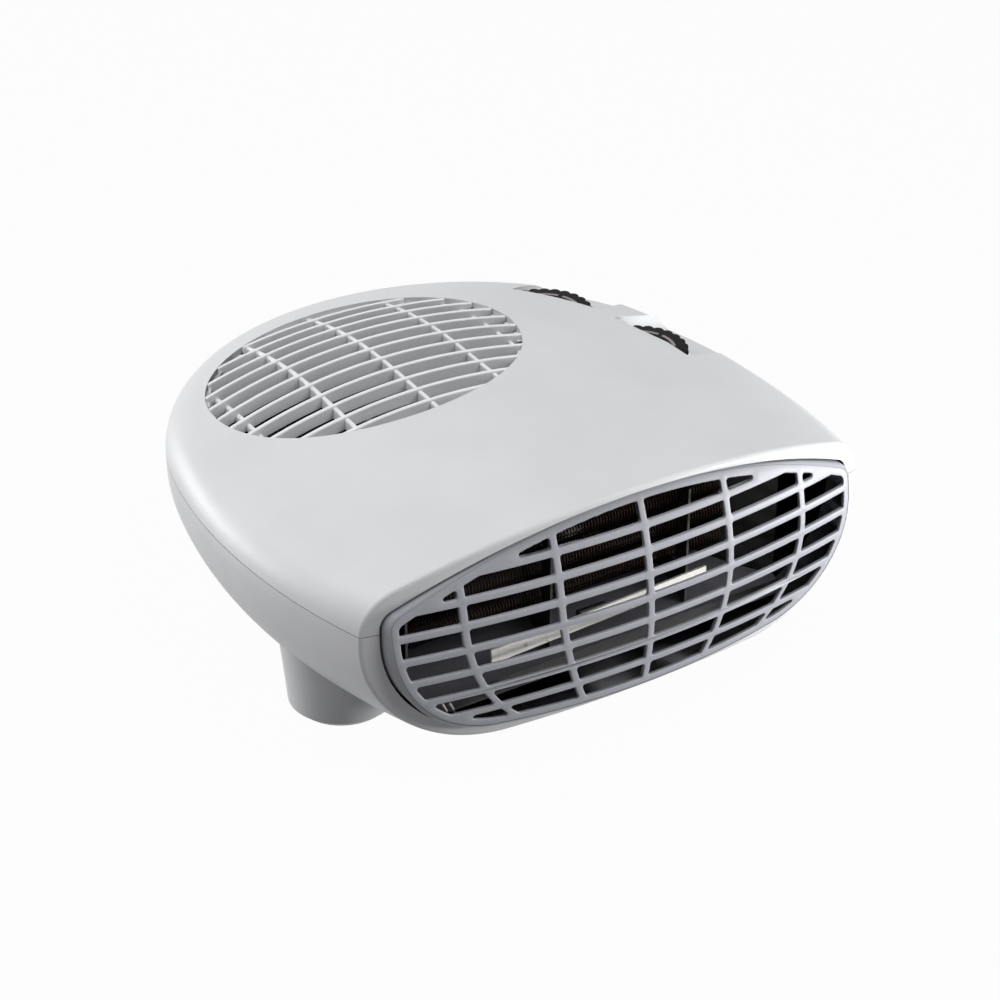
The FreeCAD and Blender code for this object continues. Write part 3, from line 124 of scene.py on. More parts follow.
def abs_housing(name, low, high, paint_inner_shade):
    """Pale grey ABS moulded in a spark-eroded tool: satin, with a fine even grain and hardly any mottle.
    Its inside can be painted nearly black as painted shade, standing in for the shade inside a shell."""
    material, tree = new_material(name)
    place = add(tree, "ShaderNodeTexCoord")
    mottle = add(tree, "ShaderNodeTexNoise", {
        "Vector": (place, "Object"), "Scale": 1 / (40 * MM), "Detail": 2.0})
    colour = add(tree, "ShaderNodeValToRGB", {"Fac": (mottle, "Fac")},
                 ((0.35, linear(low)), (0.65, linear(high))))
    grain = add(tree, "ShaderNodeTexNoise", {
        "Vector": (place, "Object"), "Scale": 1 / (0.55 * MM), "Detail": 2.0})
    bump = add(tree, "ShaderNodeBump", {"Height": (grain, "Fac"), "Strength": 0.12, "Distance": 0.06 * MM})
    shine = add(tree, "ShaderNodeMapRange", {
        "Value": (grain, "Fac"), "From Min": 0.3, "From Max": 0.7, "To Min": 0.42, "To Max": 0.52})
    base = (colour, "Color")
    if paint_inner_shade:
        surface = add(tree, "ShaderNodeNewGeometry")
        outward = add(tree, "ShaderNodeVectorMath", {0: (place, "Object"), 1: HOUSING_CENTRE},
                      operation="SUBTRACT")
        weighed = add(tree, "ShaderNodeVectorMath", {0: (outward, "Vector"), 1: INNER_SHADE_WEIGHTS},
                      operation="MULTIPLY")
        facing = add(tree, "ShaderNodeVectorMath", {0: (weighed, "Vector"), 1: (surface, "True Normal")},
                     operation="DOT_PRODUCT")
        painted_shade_share = add(tree, "ShaderNodeMapRange", {
            "Value": (facing, "Value"), "From Min": INNER_SHADE_STARTS * MM, "From Max": INNER_SHADE_FULL * MM})
        # Painted shade: the inside faces take the near-black #17161a in place of the grey.
        painted_shade_colour = add(tree, "ShaderNodeMix", {
            MIX_FACTOR: (painted_shade_share, "Result"), MIX_FIRST: base, MIX_SECOND: linear("#17161a")},
            data_type="RGBA")
        base = (painted_shade_colour, MIX_RESULT)
    shader = add(tree, "ShaderNodeBsdfPrincipled", {
        "Base Color": base, "Roughness": (shine, "Result"), "Normal": (bump, "Normal"), "IOR": 1.53})
    finish_material(tree, shader)
    return material


def grille_paint():
    """Silver-grey metallic paint over moulded plastic: fine flake, a soft sheen, a slight orange peel."""
    material, tree = new_material("metallic_paint_silver_grey")
    place = add(tree, "ShaderNodeTexCoord")
    flake = add(tree, "ShaderNodeTexVoronoi", {"Vector": (place, "Object"), "Scale": 1 / (0.4 * MM)})
    colour = add(tree, "ShaderNodeValToRGB", {"Fac": (flake, "Color")},
                 ((0.0, linear("#95969d")), (1.0, linear("#9fa0a7"))))
    peel = add(tree, "ShaderNodeTexNoise", {
        "Vector": (place, "Object"), "Scale": 1 / (1.6 * MM), "Detail": 1.0})
    bump = add(tree, "ShaderNodeBump", {"Height": (peel, "Fac"), "Strength": 0.06, "Distance": 0.1 * MM})
    shader = add(tree, "ShaderNodeBsdfPrincipled", {
        "Base Color": (colour, "Color"), "Normal": (bump, "Normal"), "Metallic": 0.0, "Roughness": 0.45,
        "Specular IOR Level": 0.3})
    finish_material(tree, shader)
    return material


def moulded_plastic(name, low, high, roughness, shine):
    """Plastic, lacquer or ink in one colour: a fine grain that takes the edge off its shine."""
    material, tree = new_material(name)
    place = add(tree, "ShaderNodeTexCoord")
    grain = add(tree, "ShaderNodeTexNoise", {
        "Vector": (place, "Object"), "Scale": 1 / (0.7 * MM), "Detail": 2.0})
    tone = add(tree, "ShaderNodeValToRGB", {"Fac": (grain, "Fac")},
               ((0.35, linear(low)), (0.75, linear(high))))
    bump = add(tree, "ShaderNodeBump", {"Height": (grain, "Fac"), "Strength": 0.1, "Distance": 0.05 * MM})
    shader = add(tree, "ShaderNodeBsdfPrincipled", {
        "Base Color": (tone, "Color"), "Roughness": roughness, "Normal": (bump, "Normal"), "IOR": 1.5,
        "Specular IOR Level": shine})
    finish_material(tree, shader)
    return material


def metal(name, dark, light, roughness, grain_mm):
    """A plain metal with faint streaks from rolling or drawing."""
    material, tree = new_material(name)
    place = add(tree, "ShaderNodeTexCoord")
    stretch = add(tree, "ShaderNodeMapping", {"Vector": (place, "Object"), "Scale": (0.08, 1.0, 1.0)})
    streak = add(tree, "ShaderNodeTexNoise", {
        "Vector": (stretch, "Vector"), "Scale": 1 / (grain_mm * MM), "Detail": 3.0})
    tone = add(tree, "ShaderNodeValToRGB", {"Fac": (streak, "Fac")},
               ((0.3, linear(dark)), (0.7, linear(light))))
    shader = add(tree, "ShaderNodeBsdfPrincipled", {
        "Base Color": (tone, "Color"), "Roughness": roughness, "Metallic": 1.0})
    finish_material(tree, shader)
    return material


def mica_board(name, low, high, spot, spot_from):
    """Pressed mica board: layered flakes with a dull sheen and darker spots where it has been hot."""
    material, tree = new_material(name)
    place = add(tree, "ShaderNodeTexCoord")
    flake = add(tree, "ShaderNodeTexVoronoi", {"Vector": (place, "Object"), "Scale": 1 / (2.5 * MM)})
    tone = add(tree, "ShaderNodeValToRGB", {"Fac": (flake, "Color")},
               ((0.2, linear(low)), (0.8, linear(high))))
    scorch = add(tree, "ShaderNodeTexNoise", {
        "Vector": (place, "Object"), "Scale": 1 / (6 * MM), "Detail": 4.0})
    spots = add(tree, "ShaderNodeMapRange", {
        "Value": (scorch, "Fac"), "From Min": spot_from, "From Max": spot_from + 0.06})
    spotted = add(tree, "ShaderNodeMix", {
        MIX_FACTOR: (spots, "Result"), MIX_FIRST: (tone, "Color"), MIX_SECOND: linear(spot)},
        data_type="RGBA")
    shader = add(tree, "ShaderNodeBsdfPrincipled", {
        "Base Color": (spotted, MIX_RESULT), "Roughness": 0.5, "IOR": 1.58})
    finish_material(tree, shader)
    return material


FLOOR_BURNT = 0.97


def floor_paper():
    """Seamless studio paper: burnt out to white for the eye, with the object's shadow left on it."""
    material, tree = new_material("studio_paper_white")
    burnt = add(tree, "ShaderNodeMath", {0: (seen_by_eye(tree), "Value"), 1: FLOOR_BURNT},
                operation="MULTIPLY")
    paper = add(tree, "ShaderNodeBsdfDiffuse", {"Color": linear("#8c8c8c")})
    glow = add(tree, "ShaderNodeEmission", {"Color": (1, 1, 1, 1), "Strength": 1.0})
    mix = add(tree, "ShaderNodeMixShader", {
        "Fac": (burnt, "Value"), 1: (paper, "BSDF"), 2: (glow, "Emission")})
    add(tree, "ShaderNodeOutputMaterial", {"Surface": (mix, "Shader")})
    return material


# Helpers for modelled pieces

MERGE_NODE_MM, MERGE_CURVE_MM, LEVEL_MM = 0.002, 0.005, 0.01
ROUND_SMOOTH_DEGREES = 50


def start_piece():
    """Leaves edit mode and selects nothing."""
    if bpy.context.object and bpy.context.object.mode != "OBJECT":
        bpy.ops.object.mode_set(mode="OBJECT")
    bpy.ops.object.select_all(action="DESELECT")


def edit(piece, kind):
    """Opens a piece in edit mode with all of one kind of element selected."""
    bpy.context.view_layer.objects.active = piece
    piece.select_set(True)
    bpy.ops.object.mode_set(mode="EDIT")
    bpy.ops.mesh.select_mode(type=kind)
    bpy.ops.mesh.select_all(action="SELECT")


def pick(piece, kind, wanted):
    """Opens a piece in edit mode with only those elements selected that pass a test."""
    edit(piece, kind)
    bpy.ops.mesh.select_all(action="DESELECT")
    bpy.ops.object.mode_set(mode="OBJECT")
    mesh = piece.data
    for element in {"VERT": mesh.vertices, "EDGE": mesh.edges, "FACE": mesh.polygons}[kind]:
        element.select = wanted(element)
    bpy.ops.object.mode_set(mode="EDIT")


def corners_of(piece, element):
    """The places of an edge's or a face's corners, in the piece's own frame."""
    return [piece.data.vertices[index].co for index in element.vertices]


def apply_modifier(piece, name, kind, **settings):
    modifier = piece.modifiers.new(name, kind)
    for key, value in settings.items():
        setattr(modifier, key, value)
    bpy.context.view_layer.objects.active = piece
    bpy.ops.object.modifier_apply(modifier=name)


def mesh_from_curve(curve):
    """A mesh piece from a curve with its fill or its round section."""
    piece = bpy.data.objects.new(curve.name, curve)
    bpy.context.scene.collection.objects.link(piece)
    bpy.context.view_layer.objects.active = piece
    piece.select_set(True)
    bpy.ops.object.convert(target="MESH")
    return bpy.context.object


def join(pieces):
    """Joins pieces into the first of them."""
    start_piece()
    for piece in pieces:
        piece.select_set(True)
    bpy.context.view_layer.objects.active = pieces[0]
    bpy.ops.object.join()
    return pieces[0]


def settle(piece, name, material, smooth_degrees=35):
    """Puts the piece's own origin at the world's, smooths it and gives it its name and material."""
    bpy.ops.object.mode_set(mode="OBJECT")
    bpy.ops.object.select_all(action="DESELECT")
    piece.select_set(True)
    bpy.context.view_layer.objects.active = piece
    bpy.ops.object.transform_apply(location=True, rotation=True, scale=True)
    bpy.ops.object.shade_smooth_by_angle(angle=math.radians(smooth_degrees))
    piece.name = name
    piece.data.materials.clear()
    piece.data.materials.append(material)
    piece.select_set(False)


def copy_of_node(node_name):
    """A copy of a CAD node's mesh with its loose triangles merged."""
    start_piece()
    source = NODES[node_name]
    piece = bpy.data.objects.new(node_name + "_copy", source.data.copy())
    piece.matrix_world = source.matrix_world
    bpy.context.scene.collection.objects.link(piece)
    edit(piece, "VERT")
    bpy.ops.mesh.remove_doubles(threshold=MERGE_NODE_MM * MM)
    bpy.ops.object.mode_set(mode="OBJECT")
    return piece


# Outlet grille: the bowed face is a vertical arc turned about a distant upright axis

FACE_FRONT_Y, FACE_MID_Z = -125.8, 45.4
FACE_RADIUS_X, FACE_RADIUS_Z = 459.0, 124.0
FACE_THICKNESS, FACE_SLACK = 1.7, 0.1
LATTICE_ROUND, LATTICE_STEP, LATTICE_FLAT_DEGREES = 0.4, 1.5, 5
ON_BOW_MM, ON_OUTLINE_MM = 0.01, 0.02


def bow(x, z):
    """Depth of the bowed face at a place, in metres."""
    upright = FACE_RADIUS_Z * MM
    level = FACE_RADIUS_X * MM
    inward = upright - math.sqrt(upright ** 2 - (z - FACE_MID_Z * MM) ** 2)
    turned = level - inward
    return FACE_FRONT_Y * MM + level - math.sqrt(turned ** 2 - x ** 2)


def on_bow(place):
    return abs(place.y - bow(place.x, place.z)) < ON_BOW_MM * MM


def within(place, outline):
    """Whether a place lies within an outline or on it, seen from the front."""
    crossings = 0
    for index, here in enumerate(outline):
        there = outline[index - 1]
        if abs(place.x - here.x) + abs(place.z - here.z) < ON_OUTLINE_MM * MM:
            return True
        if (here.z > place.z) != (there.z > place.z):
            at = here.x + (place.z - here.z) / (there.z - here.z) * (there.x - here.x)
            crossings += place.x < at
    return crossings % 2 == 1


def border_loops(mesh):
    """The closed outlines of the faces that lie on the bowed front, in order."""
    front_faces = [face for face in mesh.faces if all(on_bow(vert.co) for vert in face.verts)]
    front = {face.index for face in front_faces}
    border = {}
    for face in front_faces:
        for corner in face.loops:
            if sum(near.index in front for near in corner.edge.link_faces) == 1:
                border.setdefault(corner.vert, []).append(corner.link_loop_next.vert)
    loops = []
    while border:
        start = here = next(iter(border))
        loop = []
        while here is not start or not loop:
            loop.append(here.co.copy())
            onward = border[here].pop()
            if not border[here]:
                del border[here]
            here = onward
        loops.append(loop)
    return loops


def evenly(loop, step):
    """The loop with points added so that none are further apart than a step."""
    points = []
    for index, here in enumerate(loop):
        there = loop[(index + 1) % len(loop)]
        pieces = max(1, math.ceil((there - here).length / step))
        points += [here.lerp(there, part / pieces) for part in range(pieces)]
    return points


def lattice_sheet(loops):
    """A flat wall with all its windows and rounded edges, as a filled plane curve, that is then bowed."""
    curve = bpy.data.curves.new("lattice_outline", "CURVE")
    curve.dimensions = "2D"
    curve.fill_mode = "BOTH"
    curve.extrude = (FACE_THICKNESS / 2 - LATTICE_ROUND) * MM
    curve.bevel_depth = LATTICE_ROUND * MM
    curve.bevel_resolution = 2
    curve.offset = -LATTICE_ROUND * MM
    for loop in loops:
        points = evenly(loop, LATTICE_STEP * MM)
        spline = curve.splines.new("POLY")
        spline.points.add(len(points) - 1)
        for knot, point in zip(spline.points, points):
            knot.co = (point.x, point.z, 0, 1)
        spline.use_cyclic_u = True
    sheet = mesh_from_curve(curve)
    sheet.rotation_euler = (math.radians(90), 0, 0)
    bpy.ops.object.transform_apply(location=True, rotation=True, scale=True)
    edit(sheet, "VERT")
    bpy.ops.mesh.remove_doubles(threshold=MERGE_CURVE_MM * MM)
    bpy.ops.mesh.beautify_fill(angle_limit=math.radians(LATTICE_FLAT_DEGREES))
    bpy.ops.mesh.normals_make_consistent(inside=False)
    bpy.ops.object.mode_set(mode="OBJECT")
    for vert in sheet.data.vertices:
        vert.co.y += bow(vert.co.x, vert.co.z) + FACE_THICKNESS / 2 * MM
    return sheet


def make_grille(material):
    """The outlet lattice with soft window edges, set in the rim and skirt of the CAD grille."""
    rim = copy_of_node("outlet_grille")
    mesh = bmesh.new()
    mesh.from_mesh(rim.data)
    loops = border_loops(mesh)
    mesh.free()
    outer = max(loops, key=lambda loop: max(point.x for point in loop))
    start_piece()
    sheet = lattice_sheet(loops)
    deep = (FACE_THICKNESS + FACE_SLACK) * MM
    pick(rim, "FACE", lambda face: all(
        within(place, outer) and place.y < bow(place.x, place.z) + deep for place in corners_of(rim, face)))
    bpy.ops.mesh.delete(type="FACE")
    bpy.ops.object.mode_set(mode="OBJECT")
    lattice = join([sheet, rim])
    settle(lattice, "outlet_lattice", material)
    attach(lattice, "housing")
    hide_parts("outlet_grille")


# Inlet grille: bowed slats level with the crown, tied by lower ribs

CROWN_Z, CROWN_Y = 101.6, 17.0
CROWN_FRONT_RADIUS, CROWN_REAR_RADIUS, CROWN_CROSS_RADIUS = 6500.0, 255.0, 308.0
INLET_X, INLET_Y, INLET_HALF_LENGTH, INLET_HALF_DEPTH = -29.0, 34.0, 65.6, 58.1
SLAT_PITCH, SLAT_WALL, SLAT_DEPTH, SLAT_ROUND, SLAT_SINK = 10.2, 1.8, 5.5, 0.6, 0.2
SLAT_TURN_DEGREES, SLAT_BOW_RADIUS, SLAT_BOW_MIDDLE = -3.2, 410.0, -27.0
SLAT_PIECE, SLAT_REACH_STEP = 4.0, 0.2
RIB_PLACES, RIB_SINK = (-28.5, 3.0, 34.5), 1.2
LOW_RIB_PLACES, LOW_RIB_SINK = (-57.0, 57.0), 3.0
FLANGE_SHARE, FLANGE_COVER = 0.93, 1.5


def crown(x, y):
    """Height of the housing's crown over a place in plan, all in millimetres."""
    radius = CROWN_REAR_RADIUS if y > CROWN_Y else CROWN_FRONT_RADIUS
    height = CROWN_Z - radius + math.sqrt(radius ** 2 - (y - CROWN_Y) ** 2)
    axis = CROWN_Z - CROWN_CROSS_RADIUS
    return axis + math.sqrt((height - axis) ** 2 - x ** 2)


def rim_share(x, y):
    """Less than one within the inlet's oval rim, one on it and more outside it, for a place in plan."""
    return ((x - INLET_X) / INLET_HALF_LENGTH) ** 2 + ((y - INLET_Y) / INLET_HALF_DEPTH) ** 2


def inlet_place(along, across):
    """A place in plan from its run along the slats, which bow to the rear, and across them."""
    across -= ((along - SLAT_BOW_MIDDLE) ** 2 - SLAT_BOW_MIDDLE ** 2) / (2 * SLAT_BOW_RADIUS)
    turn = math.radians(SLAT_TURN_DEGREES)
    x = INLET_X + along * math.cos(turn) - across * math.sin(turn)
    y = INLET_Y + along * math.sin(turn) + across * math.cos(turn)
    return x, y


def bar_place(along, across, crosswise):
    """A place in plan on a bar, which runs with the slats or crosswise to them."""
    return inlet_place(across, along) if crosswise else inlet_place(along, across)


def inlet_reach(middle, way, crosswise):
    """How far a bar runs from its middle until both of its edges have met the inlet's rim."""
    edges = (middle - SLAT_WALL / 2, middle + SLAT_WALL / 2)
    run = 0.0
    while min(rim_share(*bar_place(run, edge, crosswise)) for edge in edges) <= 1:
        run += way * SLAT_REACH_STEP
    return run


def inlet_bar(middle, sink, crosswise=False):
    """One bar of the inlet: a block cut into short lengths, with a rounded top, laid along the crown."""
    first = inlet_reach(middle, -1, crosswise)
    last = inlet_reach(middle, 1, crosswise)
    start_piece()
    place = Vector(((first + last) / 2, middle, -(sink + SLAT_DEPTH) / 2)) * MM
    bpy.ops.mesh.primitive_cube_add(size=1, location=place)
    bar = bpy.context.object
    bar.scale = Vector((last - first, SLAT_WALL, SLAT_DEPTH - sink)) * MM
    bpy.ops.object.transform_apply(location=True, rotation=True, scale=True)

    def lengthwise(edge):
        start, end = corners_of(bar, edge)
        return abs(start.y - end.y) + abs(start.z - end.z) < LEVEL_MM * MM

    def on_top(edge):
        return corners_of(bar, edge)[0].z > -(sink + LEVEL_MM) * MM

    pick(bar, "EDGE", lengthwise)
    bpy.ops.mesh.subdivide(number_cuts=max(1, round((last - first) / SLAT_PIECE)))
    pick(bar, "EDGE", lambda edge: lengthwise(edge) and on_top(edge))
    bpy.ops.mesh.bevel(offset=SLAT_ROUND * MM, segments=3, affect="EDGES")
    bpy.ops.object.mode_set(mode="OBJECT")
    for vert in bar.data.vertices:
        along, across, height = vert.co / MM
        x, y = bar_place(along, across, crosswise)
        vert.co = Vector((x, y, crown(x, y) + height)) * MM
    edit(bar, "FACE")
    bpy.ops.mesh.normals_make_consistent(inside=False)
    bpy.ops.object.mode_set(mode="OBJECT")
    return bar


def inlet_flange():
    """The flange of the CAD grille that lies under the housing, without its slats."""
    flange = copy_of_node("inlet_grille")

    def slat(corner):
        x, y, z = corner / MM
        return rim_share(x, y) < FLANGE_SHARE or z > crown(x, y) - FLANGE_COVER

    pick(flange, "FACE", lambda face: any(slat(corner) for corner in corners_of(flange, face)))
    bpy.ops.mesh.delete(type="FACE")
    bpy.ops.object.mode_set(mode="OBJECT")
    return flange


def make_inlet(material):
    """The inlet's slats and ribs on the flange of the CAD grille."""
    pieces = [inlet_flange()]
    count = math.floor((INLET_HALF_DEPTH - SLAT_WALL) / SLAT_PITCH)
    for index in range(-count, count + 1):
        pieces.append(inlet_bar(index * SLAT_PITCH, SLAT_SINK))
    for place in RIB_PLACES:
        pieces.append(inlet_bar(place, RIB_SINK, True))
    for place in LOW_RIB_PLACES:
        pieces.append(inlet_bar(place, LOW_RIB_SINK, True))
    slats = join(pieces)
    settle(slats, "inlet_slats", material)
    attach(slats, "housing")
    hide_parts("inlet_grille")


# Thumbwheels: a disc drawn in between rounded lobes, with two printed arcs on top

WHEEL_RADIUS, WHEEL_THICKNESS, WHEEL_EDGE_ROUND, WHEEL_SMOOTH_DEGREES = 21.0, 7.0, 0.6, 40
LOBES, LOBE_STEPS, LOBE_DEPTH, LOBE_FULLNESS = 26, 8, 1.25, 0.8
PRINT_RADIUS, PRINT_WIDENING, PRINT_LIFT, INK_THICKNESS = 14.2, 1.1, 0.02, 0.06
PRINT_CORNERS, PRINT_START_DEGREES, PRINT_END_DEGREES = 180, 3, 48
# The middle of each wheel's top, and the way to the gap between its arcs at rest
REAR_WHEEL_TOP, REAR_PRINT_TURN = (64.7, 43.6, 89.4), 29
FRONT_WHEEL_TOP, FRONT_PRINT_TURN = (80.2, -3.4, 86.9), 16.5


def make_wheel(name, node_name, body, place, material, print_material, mark_turn):
    """A thumbwheel: the corners of a cylinder are drawn in, each by its place in its lobe."""
    start_piece()
    x, y, top = place
    middle = Vector((x, y, top - WHEEL_THICKNESS / 2)) * MM
    bpy.ops.mesh.primitive_cylinder_add(vertices=LOBES * LOBE_STEPS, radius=WHEEL_RADIUS * MM,
                                        depth=WHEEL_THICKNESS * MM, location=middle)
    wheel = bpy.context.object

    def lobe_step(vert):
        turns = math.atan2(vert.co.x, vert.co.y) / (2 * math.pi)
        return round(turns * LOBES * LOBE_STEPS) % LOBE_STEPS

    def level(edge):
        start, end = corners_of(wheel, edge)
        return abs(start.z - end.z) < LEVEL_MM * MM

    for step in range(LOBE_STEPS):
        phase = abs(math.sin(math.pi * step / LOBE_STEPS))
        shrink = 1 - LOBE_DEPTH / WHEEL_RADIUS * (1 - phase ** LOBE_FULLNESS)
        pick(wheel, "VERT", lambda vert: lobe_step(vert) == step)
        bpy.ops.transform.resize(value=(shrink, shrink, 1), center_override=middle)
    pick(wheel, "EDGE", level)
    bpy.ops.mesh.bevel(offset=WHEEL_EDGE_ROUND * MM, segments=3, affect="EDGES", clamp_overlap=True)
    settle(wheel, name, material, WHEEL_SMOOTH_DEGREES)
    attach(wheel, body)
    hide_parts(node_name)
    print_marks(name + "_print", body, place, print_material, mark_turn)


def print_marks(name, body, place, material, mark_turn):
    """Two printed arcs on the wheel's top, one on each side of a small gap."""
    start_piece()
    x, y, top = place
    middle = Vector((x, y, top + PRINT_LIFT)) * MM
    bpy.ops.mesh.primitive_circle_add(vertices=PRINT_CORNERS, radius=PRINT_RADIUS * MM, location=middle)
    mark = bpy.context.object

    def bare(vert):
        turn = math.degrees(math.atan2(vert.co.y, vert.co.x)) - mark_turn
        turn = (turn + 180) % 360 - 180
        return not PRINT_START_DEGREES <= abs(turn) <= PRINT_END_DEGREES

    pick(mark, "VERT", bare)
    bpy.ops.mesh.delete(type="VERT")
    bpy.ops.mesh.select_all(action="SELECT")
    bpy.ops.mesh.extrude_region_move()
    bpy.ops.transform.resize(value=(PRINT_WIDENING, PRINT_WIDENING, 1), center_override=middle)
    bpy.ops.mesh.select_all(action="SELECT")
    bpy.ops.mesh.normals_make_consistent(inside=False)
    bpy.ops.object.mode_set(mode="OBJECT")
    apply_modifier(mark, "ink", "SOLIDIFY", thickness=INK_THICKNESS * MM, offset=0)
    settle(mark, name, material)
    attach(mark, body)


# Heating coils

COIL_LEFT, COIL_RIGHT, COIL_Y = -96.4, 54.0, -92.0
COIL_HEIGHTS = {"low": 51.0, "middle": 63.0, "top": 75.0}
COIL_RADIUS, COIL_WIRE, COIL_PITCH = 4.75, 0.3, 1.35
COIL_WIRE_SIDES, COIL_STEPS = 6, 14


def fine_coil(row, material):
    """A heating coil at its real pitch: a ring of wire wound along X."""
    start_piece()
    turns = round((COIL_RIGHT - COIL_LEFT) / COIL_PITCH)
    place = Vector((COIL_LEFT, COIL_Y, COIL_HEIGHTS[row])) * MM
    bpy.ops.mesh.primitive_circle_add(vertices=COIL_WIRE_SIDES, radius=COIL_WIRE * MM, location=place)
    coil = bpy.context.object
    edit(coil, "VERT")
    bpy.ops.transform.translate(value=(0, COIL_RADIUS * MM, 0))
    bpy.ops.object.mode_set(mode="OBJECT")
    apply_modifier(coil, "winding", "SCREW", axis="X", screw_offset=(COIL_RIGHT - COIL_LEFT) / turns * MM,
                   iterations=turns, steps=COIL_STEPS, render_steps=COIL_STEPS, use_merge_vertices=False)
    edit(coil, "EDGE")
    bpy.ops.mesh.fill_holes(sides=COIL_WIRE_SIDES)
    bpy.ops.mesh.select_all(action="SELECT")
    bpy.ops.mesh.normals_make_consistent(inside=False)
    settle(coil, "fine_coil_" + row, material, ROUND_SMOOTH_DEGREES)
    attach(coil, "housing")
    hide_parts("heating_coil_" + row)


# Lead wires: two short sleeved ends that show low behind the grille at the left

LEAD_FRONT_Y, LEAD_BACK_Y, LEAD_RADIUS = -114.5, -101.0, 0.5
LEAD_TOPS = ((-85.4, 33.6), (-82.3, 32.8))
LEAD_DROP_X, LEAD_DROP_Z, LEAD_TAIL = 5.2, -9.5, 2.0


def lead_wires(material):
    """Each lead comes from below the deflector and ends behind a slat of the grille."""
    start_piece()
    curve = bpy.data.curves.new("lead_wires", "CURVE")
    curve.dimensions = "3D"
    curve.bevel_depth = LEAD_RADIUS * MM
    curve.bevel_resolution = 2
    curve.use_fill_caps = True
    for top_x, top_z in LEAD_TOPS:
        low_x = top_x + LEAD_DROP_X
        low_z = top_z + LEAD_DROP_Z
        route = ((top_x, LEAD_FRONT_Y, top_z), (low_x, LEAD_FRONT_Y, low_z),
                 (low_x, LEAD_BACK_Y, low_z - LEAD_TAIL))
        spline = curve.splines.new("NURBS")
        spline.points.add(len(route) - 1)
        for knot, place in zip(spline.points, route):
            knot.co = (*(Vector(place) * MM), 1.0)
        spline.use_endpoint_u = True
        spline.order_u = 3
    leads = mesh_from_curve(curve)
    settle(leads, "lead_wires", material, ROUND_SMOOTH_DEGREES)
    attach(leads, "housing")


# Stage and light

FLOOR_SIZE_M = 6.0
LAMP_AIM = Vector((0, 0, 0.05))
WORLD_FILL, WORLD_SEEN = 0.07, 1.0
# Place and size in metres, power in watts
SOFTBOXES = {
    "top_left_softbox": ((-0.7, 0.3, 1.1), (1.0, 1.0), 11.5),
    "top_softbox": ((0.35, -0.5, 1.2), (1.0, 1.0), 9.0),
    "left_rear_softbox": ((-0.8, 1.1, 0.12), (0.5, 0.3), 10.0),
    "right_low_softbox": ((0.34, -0.32, 0.025), (0.14, 0.04), 1.75),
    "front_right_softbox": ((0.6, -1.0, 0.75), (0.6, 0.6), 3.5),
}


def add_floor():
    bpy.ops.object.select_all(action="DESELECT")
    bpy.ops.mesh.primitive_plane_add(size=FLOOR_SIZE_M, location=(0, 0, 0))
    floor = bpy.context.object
    floor.name = "studio_floor"
    floor.data.materials.append(floor_paper())


def add_area(name, place, size, power):
    data = bpy.data.lights.new(name, "AREA")
    data.shape = "RECTANGLE"
    data.size, data.size_y = size
    data.energy = power
    lamp = bpy.data.objects.new(name, data)
    bpy.context.scene.collection.objects.link(lamp)
    lamp.location = place
    lamp.rotation_euler = (LAMP_AIM - Vector(place)).to_track_quat("-Z", "Y").to_euler()


def add_light():
    """A dim world that the eye sees as white, and softboxes round the heater."""
    world = bpy.data.worlds.new("studio_world")
    bpy.context.scene.world = world
    world.use_nodes = True
    tree = world.node_tree
    tree.nodes.clear()
    level = add(tree, "ShaderNodeMapRange", {
        "Value": (seen_by_eye(tree), "Value"), "To Min": WORLD_FILL, "To Max": WORLD_SEEN})
    back = add(tree, "ShaderNodeBackground", {"Color": (1, 1, 1, 1), "Strength": (level, "Result")})
    add(tree, "ShaderNodeOutputWorld", {"Surface": (back, "Background")})
    for name, (place, size, power) in SOFTBOXES.items():
        add_area(name, place, size, power)


# Assembly of the scene

def dress(material, *names):
    for name in names:
        slots = NODES[name].data.materials
        slots.clear()
        slots.append(material)
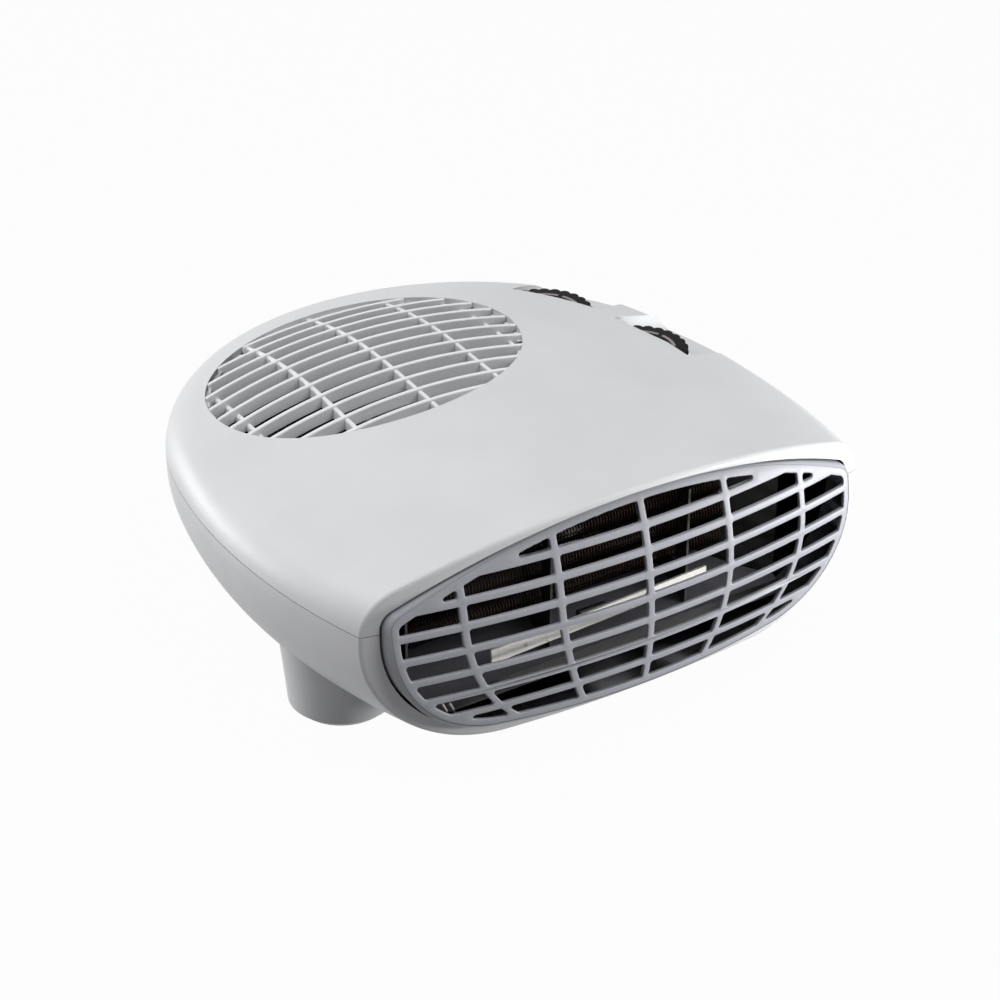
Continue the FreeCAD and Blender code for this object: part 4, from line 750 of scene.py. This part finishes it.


# The housing's material paints shade, nearly black, on the inside of the shells.
housing = abs_housing("moulded_abs_pale_grey_painted_inner_shade", "#c4c5c7", "#c8c9cb", True)
# Painted light: the inlet slats get a paler copy of the housing's grey, to stand in for light that their
# own shade keeps off them.
inlet = abs_housing("moulded_abs_inlet_slats_painted_paler", "#d6d7d9", "#dadbdd", False)
grille = grille_paint()
steel = metal("zinc_plated_steel", "#8f9092", "#b4b5b6", 0.38, 3.0)
pale_print = moulded_plastic("worn_grey_ink", "#7d7877", "#8a8584", 0.6, 0.3)
black = moulded_plastic("black_nylon_moulded", "#0b090a", "#131011", 0.55, 0.06)
duct = moulded_plastic("black_phenolic_gloss", "#050506", "#08080a", 0.25, 0.2)
dark_sheet = moulded_plastic("black_lacquered_sheet", "#434349", "#4a4a50", 0.6, 0.3)
wire = metal("oxidised_resistance_wire", "#1c1512", "#362a24", 0.5, 1.0)
pale_sleeve = moulded_plastic("pale_silicone_sleeve", "#a7a29f", "#b1aca9", 0.5, 0.3)
copper = metal("enamelled_copper", "#6d3415", "#8d4a22", 0.35, 1.0)
lamination = metal("laminated_iron", "#3d3e42", "#55565a", 0.5, 0.6)
pale_mica = mica_board("pressed_mica_pale", "#f8f5ee", "#fffdf9", "#9a958d", 0.66)
dark_mica = mica_board("pressed_mica_scorched", "#0c0705", "#150d09", "#060403", 0.55)
dress(housing, "upper_housing", "lower_housing")
dress(inlet, "inlet_grille")
dress(grille, "outlet_grille")
dress(black, "thermostat_wheel", "switch_wheel", "fan_impeller", "fan_deck", "terminal_block", "cord_gland",
      "thermostat_body", "switch_body")
dress(duct, "fan_scroll")
dress(dark_sheet, "air_deflector")
dress(steel, "control_plate", "upper_bearing_bracket", "lower_bearing_bracket", "thermal_cutout",
      "thermostat_spindle", "switch_spindle", "motor_shaft", "control_screws", "housing_screws",
      "deck_screws", "motor_bolts")
dress(lamination, "motor_stack", "motor_rotor", "thermal_fuse")
dress(copper, "motor_winding")
dress(dark_mica, "mica_combs")
dress(pale_mica, "mica_strip")
dress(wire, "heating_coil_low", "heating_coil_middle", "heating_coil_top")

for coil_row in COIL_HEIGHTS:
    fine_coil(coil_row, wire)
lead_wires(pale_sleeve)
make_grille(grille)
make_inlet(inlet)
make_wheel("rear_wheel", "thermostat_wheel", "thermostat_control", REAR_WHEEL_TOP, black, pale_print,
           REAR_PRINT_TURN)
make_wheel("front_wheel", "switch_wheel", "switch_control", FRONT_WHEEL_TOP, black, pale_print,
           FRONT_PRINT_TURN)

add_camera()
add_floor()
add_light()
bpy.context.scene.view_settings.view_transform = "Standard"
